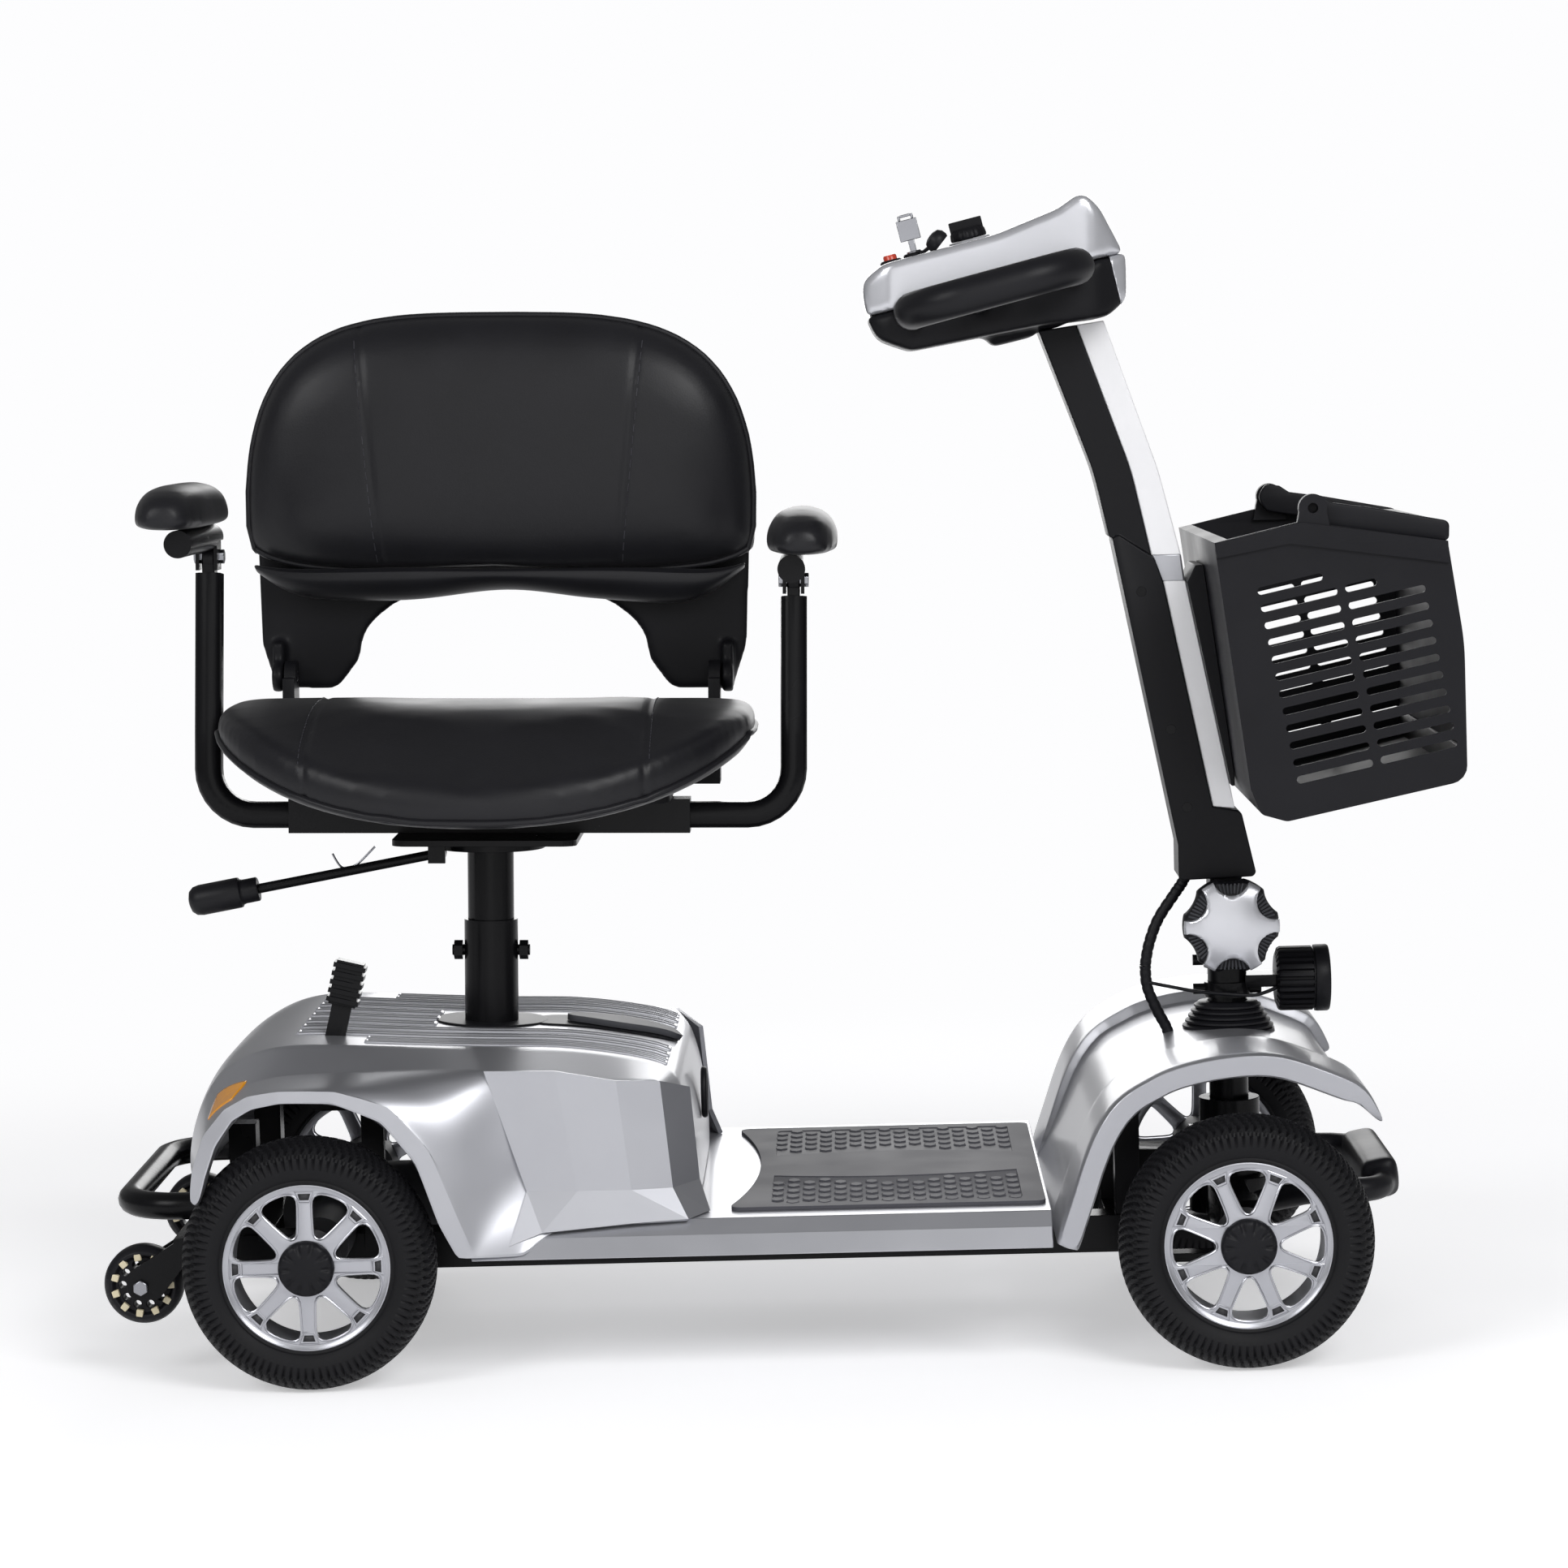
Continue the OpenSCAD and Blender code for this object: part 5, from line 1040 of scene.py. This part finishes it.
class SCOOTER_OT_cords(bpy.types.Operator):
    """Makes the wiring harness and the thin lamp lead"""

    bl_idname = "scooter.cords"
    bl_label = "Cords"

    def execute(self, context):
        upper = curve_line(
            [(337, 0, 369), (332, 0, 358), (324, -2, 347), (311, -4, 328), (303, -6, 308), (299.5, -6, 290)],
            12,
        )
        lower = curve_line(
            [(299.5, -6, 290), (301, -5, 272), (309, -3, 252), (317, 0, 236), (319, 0, 222)], 12
        )
        lead = curve_line(
            [(303, -8, 276), (321, -16, 273), (341, -25, 270), (363, -28, 268), (385, -26, 266),
             (398, -21, 268), (406.2, -17, 271)],
            8,
        )
        parts = [
            ("harness_upper", upper, 4.8, ("column", "tiller"), (299.5, -6, 290), (332, 0, 358)),
            ("harness_lower", lower, 4.8, ("chassis", "column"), (319, 0, 222), (299.5, -6, 290)),
            ("lamp_lead", lead, 1.5, ("column",), (303, -8, 276), None),
        ]
        for name, line, radius, bodies, start, end in parts:
            wound = (lambda i: 1.0 if i % 4 < 3 else 0.9) if radius > 2 else None
            obj = tube_mesh(name, line, radius, 16, swell=wound)
            obj.data.materials.append(MATERIALS["black_foam_rubber"])
            obj.data.shade_smooth()
            if len(bodies) == 2:
                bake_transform(obj)
            else:
                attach(obj, bodies[0])
            if name == "harness_upper":
                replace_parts(obj, "harness")
        return {"FINISHED"}


class SCOOTER_OT_mat(bpy.types.Operator):
    """Makes the floor mat with its two panels of raised cells"""

    bl_idname = "scooter.mat"
    bl_label = "Floor Mat"

    def execute(self, context):
        soften("floor_mat", "grey_mat_rubber", 0.8)
        cells = bmesh.new()
        step_x, step_y = 12.6, 24.0
        middle = 82.5
        for i in range(-12, 13):
            for k in range(-9, 10):
                x = middle + i * step_x
                y = k * step_y + (step_y / 2 if i % 2 else 0)
                # Two panels, with curved inner edges and a curved rear edge
                if not (-10 < x < 191 and 46 < abs(y) < 170):
                    continue
                if math.hypot(x - middle, abs(y) + 290) < 364 or math.hypot(x + 801.5, y) < 800:
                    continue
                matrix = Matrix.Translation((x, y, 129.1)) @ Matrix.Diagonal((7.6, 11.6, 2.6, 1.0))
                bmesh.ops.create_cone(
                    cells, cap_ends=True, segments=6, radius1=1.0, radius2=0.62, depth=1.0, matrix=matrix
                )
        piece("floor_mat_cells", cells, "chassis", "grey_mat_rubber", sharp=20)
        return {"FINISHED"}


class SCOOTER_OT_console(bpy.types.Operator):
    """Makes the console shells, the grips and the switches"""

    bl_idname = "scooter.console"
    bl_label = "Console"

    def execute(self, context):
        melt("console_upper", "silver_paint_on_console", 2.2, 34)
        lower = melt("console_lower", "black_moulded_abs", 2.2, 40)
        for side, name in ((1, "left"), (-1, "right")):
            inner, outer = side * 76, side * 197.5
            loop = [(119, inner, 829), (119, outer, 829), (247, outer, 860), (247, inner, 860)]
            line = rounded(loop, 44, 10)
            tube(f"grip_{name}_foam", line, 14.5, "tiller", "black_foam_rubber", (f"grip_{name}",), 32)
        # The silver shell runs down over the front end of the lower shell
        end = bmesh.new()
        end.from_mesh(lower.data)
        end.normal_update()
        along, up = Vector((0.974, 0, 0.2267)), Vector((-0.2267, 0, 0.974))
        reach = max(v.co.dot(along) for v in end.verts)
        cut = end.verts[:] + end.edges[:] + end.faces[:]
        bmesh.ops.bisect_plane(
            end, geom=cut, plane_co=along * (reach - 12 * MM), plane_no=along, clear_inner=True
        )
        for vert in end.verts:
            vert.co += vert.normal * 0.8 * MM
        bmesh.ops.scale(end, vec=[PER_METRE] * 3, verts=end.verts)
        piece(
            "console_front_end", end, "tiller", "silver_paint_on_console",
            sharp=60, solid=1.0,
        )
        base = Vector((97, 0, 868.5))
        turned = Matrix((along, Vector((0, 1, 0)), up)).transposed().to_4x4()

        def on_console(form, u, v=0.0, h=0.0):
            """Carries a form to the console's top, u in front of its rear edge."""
            return moved(form, Matrix.Translation(base + along * u + up * h + Vector((0, v, 0))) @ turned)

        # Key with a small loop on its head
        key = bmesh.new()
        rod(key, (0, 0, -10), (0, 0, 5), 6.0, 24)
        block(key, (-2.6, -1.1, 4), (2.6, 1.1, 15))
        block(key, (-8.5, -1.6, 14), (8.5, 1.6, 31))
        block(key, (-6.5, -1.2, 31), (-4.3, 1.2, 35))
        block(key, (4.3, -1.2, 31), (6.5, 1.2, 35))
        block(key, (-4.5, -1.2, 33.2), (4.5, 1.2, 35.4))
        piece(
            "ignition_key_finish", on_console(key, 28), "key", "plated_steel",
            ("ignition_key",), bevel=0.5,
        )
        collar = lathe([(6.2, -1), (9.2, -1), (9.2, 2.6), (8.2, 3.6), (6.3, 3.8), (6.2, -1)], 32)
        piece("key_collar", on_console(collar, 28), "tiller", "black_moulded_abs")
        button = lathe([(0.01, -5), (5.6, -5), (5.6, 5.6), (4.9, 6.6), (0.01, 7.0)], 24)
        piece(
            "horn_button_finish", on_console(button, 8), "horn", "red_button_plastic",
            ("horn_button",),
        )
        bezel = lathe([(6.4, -1.5), (9.0, -1.5), (9.0, 1.4), (7.6, 2.6), (6.5, 2.6), (6.4, -1.5)], 32)
        piece("horn_bezel", on_console(bezel, 8), "tiller", "black_moulded_abs")
        dial = lathe(
            [(0.01, -12), (3, -12), (3, 3), (14.2, 3), (15, 4.2), (14.4, 9), (12.0, 12.0), (0.01, 12.6)], 64
        )
        for vert in dial.verts:
            if vert.co.z > 4:
                vert.co.xy *= 1 - 0.04 * max(0, math.cos(16 * math.atan2(vert.co.y, vert.co.x)))
        block(dial, (-13.5, -3.2, 9), (13.5, 3.2, 19))
        piece(
            "speed_dial_finish", on_console(dial, 74), "dial", "black_moulded_abs",
            ("speed_dial",), bevel=0.8,
        )
        plinth = lathe([(3.2, -1), (19, -1), (17, 2.4), (3.2, 2.6), (3.2, -1)], 48)
        piece("dial_plinth", on_console(plinth, 74), "tiller", "silver_paint_on_console")
        # Rubber charge cap on its strap
        cap = lathe([(0.01, 0), (8.5, 0), (9.5, 2), (9.5, 6), (7.5, 9.5), (4, 11), (0.01, 11.4)], 32)
        tilt = Matrix.Rotation(math.radians(-38), 3, "Y")
        bmesh.ops.rotate(cap, cent=(0, 0, 0), matrix=tilt, verts=cap.verts)
        piece("charge_cap", on_console(cap, 50, -27, 4), "tiller", "black_foam_rubber")
        strap = ((33, -14, 0.5), (38, -19, 3), (44, -24, 5), (50, -27, 7))
        line = curve_line([base + along * u + up * h + Vector((0, v, 0)) for u, v, h in strap], 6)
        tube("charge_cap_strap", line, 1.6, "tiller", "black_foam_rubber")
        return {"FINISHED"}


class SCOOTER_OT_boot(bpy.types.Operator):
    """Makes the ribbed rubber boot round the steering column"""

    bl_idname = "scooter.boot"
    bl_label = "Steering Boot"

    def execute(self, context):
        profile = [(16.6, 226), (38.0, 226), (38.8, 232), (38.2, 236.4)]
        for i in range(5):
            out, z = 37.6 - 2.5 * i, 237 + 4.2 * i
            profile += [(out - 1.6, z), (out, z + 1.0), (out - 0.2, z + 2.6), (out - 2.4, z + 3.4)]
        profile += [(24.5, 258.6), (16.6, 259.4), (16.6, 226)]
        boot = lathe(profile, 64)
        bmesh.ops.translate(boot, verts=boot.verts, vec=(STEER_X, 0, 0))
        piece(
            "steering_boot_rubber", boot, BODY_OF["steering_boot"], "black_foam_rubber",
            ("steering_boot",), sharp=60,
        )
        return {"FINISHED"}


def stuffed(node, name, voxel, swell):
    """A copy of a cushion's solid, evenly meshed and blown up as cloth round its filling."""
    obj = copy_of(node, name)
    modify(obj, "REMESH", mode="VOXEL", voxel_size=voxel * MM)
    modify(obj, "SMOOTH", factor=0.5, iterations=3)
    modify(obj, "DISPLACE", strength=-0.5 * MM, mid_level=0.0)
    bake(obj)
    scene = bpy.context.scene
    before = [v.co.copy() for v in obj.data.vertices]
    frames = 20
    cloth = modify(obj, "CLOTH").settings
    cloth.quality = 5
    cloth.use_pressure = True
    cloth.uniform_pressure_force = 4.0
    cloth.tension_stiffness = cloth.compression_stiffness = 60.0
    cloth.shear_stiffness = 30.0
    cloth.bending_stiffness = 40.0
    cloth.air_damping = 4.0
    cloth.effector_weights.gravity = 0.0
    obj.modifiers["Cloth"].point_cache.frame_end = frames
    for step in range(1, frames + 1):
        scene.frame_set(step)
    bake(obj)
    scene.frame_set(1)
    for vert, start in zip(obj.data.vertices, before):
        move = vert.co - start
        if move.length > swell:
            vert.co = start + move * (swell / move.length)
    modify(obj, "SMOOTH", factor=0.5, iterations=14)
    modify(obj, "SUBSURF", levels=1, render_levels=1)
    bake(obj)
    return obj


def groove(obj, lines, flat, depth, width, facing):
    """Presses seams into a cushion along lines seen along an axis, on the faces that look the given way."""
    first, second = [k for k in range(3) if k != flat]

    def seen(point):
        """A point as it is seen along the axis."""
        return Vector((point[first], point[second]))

    spans = [(seen(a), seen(b)) for line in lines for a, b in zip(line, line[1:])]
    normals = [v.normal.copy() for v in obj.data.vertices]
    for vert, normal in zip(obj.data.vertices, normals):
        if normal.dot(facing) < -0.15:
            continue
        place = seen(vert.co) / MM
        near = math.inf
        for a, b in spans:
            t = max(0.0, min(1.0, (place - a).dot(b - a) / (b - a).length_squared))
            near = min(near, (place - a.lerp(b, t)).length)
        if near < 3 * width:
            vert.co -= normal * depth * MM * math.exp(-((near / width) ** 2))


def stitches(name, tree, lines, look, body, pitch=5.5, length=3.6, radius=0.45):
    """Thread stitches that lie on a cushion along lines, found by looking along a direction."""
    form = bmesh.new()
    for line in lines:
        walk = []
        for a, b in zip(line, line[1:]):
            count = max(int((b - a).length / pitch), 1)
            walk += [a.lerp(b, k / count) for k in range(count)]
        for a, b in zip(walk, walk[1:]):
            ends = []
            for p in (a, a.lerp(b, length / pitch)):
                hit = tree.ray_cast((p - look * 150) * MM, look, 0.4)
                if hit[0]:
                    ends.append(hit[0] / MM - look * 0.15)
            if len(ends) == 2 and (ends[1] - ends[0]).length > 0.5:
                rod(form, ends[0], ends[1], radius, 6)
    return piece(name, form, body, "vinyl_thread", sharp=60)


class SCOOTER_OT_seat(bpy.types.Operator):
    """Makes the cushions, their seams and piping, the arm rests and the square arm tubes"""

    bl_idname = "scooter.seat"
    bl_label = "Seat"

    def execute(self, context):
        settings = context.scene.scooter
        swell = settings.cushion_swell
        pipe = settings.piping_radius / MM
        seat = stuffed("seat_cushion", "seat_cushion_cover", 5.0, swell)
        back = stuffed("back_cushion", "back_cushion_cover", 5.0, swell)
        seat_lines = [
            [seat_point(k * 134, y, 250) for y in range(-200, 112, 6)] for k in (-1, 1)
        ]
        back_lines = [
            [seat_point(k * (100 + 19 * t / 20), 0, 372 + 200 * t / 20) for t in range(21)] for k in (-1, 1)
        ]
        groove(seat, seat_lines, 2, 1.2, 2.4, Vector((0, -0.5, 0.8)))
        groove(back, back_lines, 1, 1.2, 2.4, Vector((0, -1, 0)))
        for obj, node, body in ((seat, "seat_cushion", "seat"), (back, "back_cushion", "backrest")):
            dress(obj, body, "grained_vinyl", (node,), 80)
        depsgraph = bpy.context.evaluated_depsgraph_get()
        seat_tree = BVHTree.FromObject(seat, depsgraph)
        back_tree = BVHTree.FromObject(back, depsgraph)
        seams = [
            ("seat", seat_tree, seat_lines, Vector((0, 0, -1)), "seat"),
            ("back", back_tree, back_lines, Vector((0, 1, 0)), "backrest"),
        ]
        for k, (side, name) in enumerate(((-1, "left"), (1, "right"))):
            away = Vector((side * 4, 0, 0))
            for part, tree, lines, look, body in seams:
                stitches(f"{part}_stitches_{name}", tree, [[p + away for p in lines[k]]], look, body)

        def seat_ring(s, a):
            """A place on the seat's rounded edge, at a share of its width and an angle round the section."""
            front = max(205 * (1 - abs(s) ** 2.6) ** (1 / 2.6), 8)
            rear = max(118 * (1 - abs(s) ** 5) ** 0.2, 8)
            c, q = math.cos(a), math.sin(a)
            f = (front - rear) / 2 + (front + rear) / 2 * math.copysign(abs(c) ** 0.7, c)
            drop = 26 * max(0, f / 205) ** 2 * (1 - s * s) - 26 * s**4
            thick = 29 * math.sqrt(1 - s**6) + 3
            bulge = math.copysign(abs(q) ** (0.6 if q > 0 else 0.35), q)
            return seat_point(s * 220, -f, 223 - drop + thick * bulge)

        def laid(tree, points, lift):
            """The nearest places to points on a cushion, lifted a little."""
            line = []
            for point in points:
                place, normal, _, _ = tree.find_nearest(point * MM)
                line.append(place / MM + normal * lift)
            return line

        turns = [math.sin(math.radians(9 * k)) * 0.985 for k in range(-10, 11)]
        loop = [seat_ring(k, math.radians(-11)) for k in turns]
        loop += [seat_ring(k, math.radians(191)) for k in reversed(turns)]
        line = laid(seat_tree, curve_line(loop + loop[:1], 3)[:-1], pipe * 0.4)
        tube("seat_piping", line, pipe, "seat", "grained_vinyl", closed=True)

        def back_outline(k, top):
            """A place on the backrest's outline, at a share of its half width."""
            high = 362 + 221 * (1 - abs(k) ** 3.65) ** (1 / 3.4)
            return seat_point(k * 216, 140, high - 3 if top else 365 + 18 * k**6)

        loop = [back_outline(k, True) for k in turns] + [back_outline(k, False) for k in reversed(turns)]
        line = laid(back_tree, curve_line(loop + loop[:1], 3)[:-1], pipe * 0.3)
        tube("back_piping", line, pipe, "backrest", "grained_vinyl", closed=True)
        # Loose hem of the back cover, in two lobes over the shell's side arms
        upper = curve_line(
            [(-441, 128, 634), (-407, 126, 630), (-308, 124, 629), (-243, 124, 626), (-136, 126, 625),
             (-54, 128, 621), (-24, 130, 625)],
            6,
        )
        lower = curve_line(
            [(-440.4, 146, 626), (-400.4, 143, 604), (-314, 142, 599), (-227, 142, 606), (-150, 142, 596),
             (-72, 143, 592), (-24, 146, 620)],
            6,
        )
        rows = []
        for t, out in ((0, 10), (0.12, 0), (0.4, -5), (0.7, -5), (0.92, -2), (1.0, 4), (0.95, 12)):
            rows.append([a.lerp(b, t) + Vector((0, out, 0)) for a, b in zip(upper, lower)])
        hem = sheet_grid(rows)
        face_along(hem, Vector((0, -1, 0)))
        hem = piece(
            "back_hem", hem, "backrest", "grained_vinyl", sharp=60, solid=2.0, subsurf=1
        )
        # Arm rests: square tubes, flip joints and padded tops
        for side, name, x, top in ((-1, "left", 232, 381), (1, "right", 250, 361)):
            line = rounded(
                [(side * 60, 0, 169), (side * x, 0, 169), (side * x, 6, 235), (side * x, 22, top - 14)],
                [38, 60],
                8,
            )
            line = [seat_point(*p) for p in line]
            arm = f"arm_{name}"
            tube(
                f"{arm}_tube_finish", line, 10.4, arm, "black_powder_coat",
                (f"arm_tube_{name}",), square=True,
            )
            eye = bmesh.new()
            rod(eye, seat_point(side * x - 5, 22, top), seat_point(side * x + 5, 22, top), 11, 32)
            block(eye, seat_point(side * x - 5, 13, top - 20), seat_point(side * x + 5, 31, top))
            piece(f"{arm}_eye", eye, arm, "black_powder_coat", bevel=1.0)
            bolt = bmesh.new()
            rod(bolt, seat_point(side * x - 12.5, 22, top), seat_point(side * x + 12.5, 22, top), 6, 6)
            piece(f"{arm}_bolt", bolt, f"arm_rest_{name}", "plated_steel", bevel=0.6)
            pad = stuffed(f"arm_pad_{name}", f"arm_pad_{name}_cover", 4.0, swell * 0.4)
            dress(pad, f"arm_rest_{name}", "grained_vinyl", (f"arm_pad_{name}",), 80)
        return {"FINISHED"}


class SCOOTER_OT_small_parts(bpy.types.Operator):
    """Makes the bumpers, headlight, swivel lever, basket and its handle, anti-tip trim and tiller trim"""

    bl_idname = "scooter.small_parts"
    bl_label = "Small Parts"

    def execute(self, context):
        line = rounded(
            [(-433, -78, 124), (-452, -139, 133), (-529, -139, 133), (-529, 139, 133), (-452, 139, 133),
             (-433, 78, 124)],
            [20, 46, 46, 20],
            10,
        )
        tube("rear_bumper_tube", line, 11, "chassis", "black_powder_coat", ("rear_bumper",), 24)
        # Headlight with fine fins and a plain ring
        lamp = lathe(
            [(0.01, 0), (20, 0), (25.5, 2), (26.5, 4), (26.5, 30), (25.2, 30.5), (25.2, 31.5), (27.2, 32),
             (27.5, 34), (27.5, 42), (26.6, 43.6), (24.4, 44), (24.0, 36), (0.01, 36)],
            240,
        )
        for vert in lamp.verts:
            radius = math.hypot(vert.co.x, vert.co.y)
            if radius > 22 and vert.co.z < 30.2 and math.cos(26 * math.atan2(vert.co.y, vert.co.x)) > 0.2:
                vert.co.xy *= (radius - 3.4) / radius
        bmesh.ops.rotate(lamp, cent=(0, 0, 0), matrix=Matrix.Rotation(math.pi / 2, 3, "Y"), verts=lamp.verts)
        bmesh.ops.translate(lamp, verts=lamp.verts, vec=(406.5, 0, 276))
        piece("headlight_finish", lamp, "column", "black_moulded_abs", ("headlight_body",), sharp=40)
        # Swivel lever: bar, smooth moulded grip and the wire spring at its pivot
        pivot, tip = Vector((-40, -40, 141)), Vector((-218, -40, 106))
        ahead = (tip - pivot).normalized()
        lever = bmesh.new()
        rod(lever, pivot, tip, 4.0, 20)
        rod(lever, pivot - Vector((0, 6, 0)), pivot + Vector((0, 6, 0)), 7, 24)
        grip = lathe(
            [(0.01, 0), (9.2, 0), (10, 1), (10, 12), (10.6, 14), (12.2, 15), (12.6, 17), (12.6, 48),
             (11.6, 53), (8.6, 56.4), (4, 57.8), (0.01, 58)],
            32,
        )
        turn = Matrix.Translation(tip - ahead * 32) @ ahead.to_track_quat("Z", "Y").to_matrix().to_4x4()
        moved(grip, turn)
        for name, form, material, stands in (
            ("swivel_lever_bar", lever, "black_powder_coat", ("swivel_lever",)),
            ("swivel_lever_grip", grip, "black_foam_rubber", ()),
        ):
            piece(name, moved(form, SEAT_FRAME), "lever", material, stands, 45)
        wire = curve_line(
            [(-363, -40, 403), (-358, -40, 394), (-353, -40, 391), (-343, -40, 394), (-328, -40, 408)], 6
        )
        tube("swivel_spring_wire", wire, 1.1, "seat", "plated_steel", sides=8)
        # Basket handle: two moulded arms joined by the grip at the front
        outline = rounded(
            [(432, 0, 677), (440, 0, 671.5), (470, 0, 667), (531, 0, 655), (530.5, 0, 639), (439, 0, 652.5),
             (420, 0, 656), (413, 0, 668), (420, 0, 679), (432, 0, 677)],
            [6, 10, 5, 4, 12, 8, 9, 6],
            4,
        )
        handle = bmesh.new()
        for sign in (-1, 1):
            made = plate([[(p.x, p.z) for p in outline[:-1]]], 11, 1.5)
            moved(made, Matrix.Translation((1, sign * 169.5, 0)) @ Matrix.Rotation(math.pi / 2, 4, "X"))
            mesh = bpy.data.meshes.new("arm")
            made.to_mesh(mesh)
            made.free()
            handle.from_mesh(mesh)
            bpy.data.meshes.remove(mesh)
        block(handle, (505, -170, 645), (529, 170, 655))
        piece(
            "basket_handle_finish", handle, "basket_handle", "black_polypropylene",
            ("basket_handle",), sharp=40, bevel=1.0,
        )
        # Anti-tip wheels: pale windows in the black core, plated bolts
        for side, name in ((1, "left"), (-1, "right")):
            form = bmesh.new()
            for face in (-1, 1):
                for i in range(11):
                    a = 2 * math.pi * i / 11
                    made = block(form, (19.8, -2.8, 9.4 * face - 2.2), (25.6, 2.8, 9.4 * face + 2.2))
                    bmesh.ops.transform(form, matrix=Matrix.Rotation(a, 4, "Z"), verts=made)
            y = side * TIP_Y
            moved(form, Matrix.Translation((TIP_X, y, TIP_Z)) @ Matrix.Rotation(math.pi / 2, 4, "X"))
            piece(
                f"anti_tip_windows_{name}", form, f"tip_wheel_{name}", "ivory_window", bevel=0.6
            )
            bolt = bmesh.new()
            for face in (-1, 1):
                rod(bolt, (TIP_X, y + face * 18, TIP_Z), (TIP_X, y + face * 23, TIP_Z), 6.4, 6)
            piece(f"anti_tip_bolt_{name}", bolt, "chassis", "plated_steel", bevel=0.8)
        # Painted shade of the screw holes on the tiller's sides, drawn as thin black discs
        holes = bmesh.new()
        for x, z in ((301, 599), (323, 486), (335, 422)):
            for sign in (-1, 1):
                rod(holes, (x, sign * 26.4, z), (x, sign * 27.3, z), 4.2, 24)
        piece("tiller_screw_hole_shade", holes, "tiller", "black_powder_coat", bevel=0.2)
        # Front bumper with its moulded pad
        melt("front_bumper", "black_foam_rubber", 2.5, 40)
        # Silver knee between the upper and lower trims of the tiller
        knee = bmesh.new()
        for vert in block(knee, (310, -22.5, 606), (334, 22.5, 629)):
            if vert.co.z < 610:
                vert.co.x += 8 if vert.co.x < 320 else 3
        piece("tiller_trim_knee", knee, "tiller", "silver_paint_on_abs", bevel=1.5)
        # Moulded shells, with wider rounding than the plain solids
        melt("backrest_shell", "black_moulded_abs", 2.5, 8)
        soften("tiller_post", "black_moulded_abs", 2.0, 3, 28.0, 40.0)
        soften("basket", "black_polypropylene", 2.0, 3, 28.0, 40.0)
        return {"FINISHED"}


class SCOOTER_OT_plain_solids(bpy.types.Operator):
    """Rounds the edges of the remaining solids and gives them their finish"""

    bl_idname = "scooter.plain_solids"
    bl_label = "Plain Solids"

    def execute(self, context):
        by_slot = {
            "black_steel": "black_powder_coat",
            "soft_rubber": "black_foam_rubber",
            "motor_metal": "cast_motor_housing",
            "black_plastic": "black_moulded_abs",
            "battery_plastic": "silver_battery_case",
            "grey_plastic": "grey_moulded_abs",
            "silver_paint": "silver_paint_on_abs",
            "mat_rubber": "grey_mat_rubber",
            "console_silver": "silver_paint_on_console",
            "trim_white": "pale_trim_paint",
            "basket_plastic": "black_polypropylene",
            "seat_vinyl": "grained_vinyl",
            "bright_metal": "plated_steel",
            "red_plastic": "red_button_plastic",
            "lamp_glass": "clear_lamp_lens",
            "tip_wheel": "charcoal_moulded_abs",
            "rim_silver": "silver_paint_on_rims",
            "tyre_rubber": "tyre_rubber",
        }
        stood = {n for o in bpy.data.objects for n in o.get("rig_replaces", [])}
        for node in sorted(NODES):
            if node not in stood:
                soften(node, by_slot[SLOT_OF[node]], 0.8)
        return {"FINISHED"}


STEPS = [
    SCOOTER_OT_materials,
    SCOOTER_OT_stage,
    SCOOTER_OT_cords,
    SCOOTER_OT_tyres,
    SCOOTER_OT_rims,
    SCOOTER_OT_rear_cover,
    SCOOTER_OT_front_cover,
    SCOOTER_OT_knob,
    SCOOTER_OT_mat,
    SCOOTER_OT_console,
    SCOOTER_OT_boot,
    SCOOTER_OT_seat,
    SCOOTER_OT_small_parts,
    SCOOTER_OT_plain_solids,
]


class SCOOTER_PT_panel(bpy.types.Panel):
    """Lists the steps that dress the scooter"""

    bl_idname = "SCOOTER_PT_panel"
    bl_label = "Scooter"
    bl_space_type = "VIEW_3D"
    bl_region_type = "UI"
    bl_category = "Scooter"

    def draw(self, context):
        for name in ScooterSettings.__annotations__:
            self.layout.prop(context.scene.scooter, name)
        for step in STEPS:
            self.layout.operator(step.bl_idname)


CLASSES = [ScooterSettings, *STEPS, SCOOTER_PT_panel]


def register():
    """Registers the classes and the settings."""
    for cls in CLASSES:
        bpy.utils.register_class(cls)
    bpy.types.Scene.scooter = bpy.props.PointerProperty(type=ScooterSettings)


def unregister():
    """Takes the settings and the classes away."""
    del bpy.types.Scene.scooter
    for cls in reversed(CLASSES):
        bpy.utils.unregister_class(cls)


def main():
    """Dresses the scooter step by step."""
    register()
    for step in STEPS:
        group, name = step.bl_idname.split(".")
        getattr(getattr(bpy.ops, group), name)()


if __name__ == "__main__":
    main()
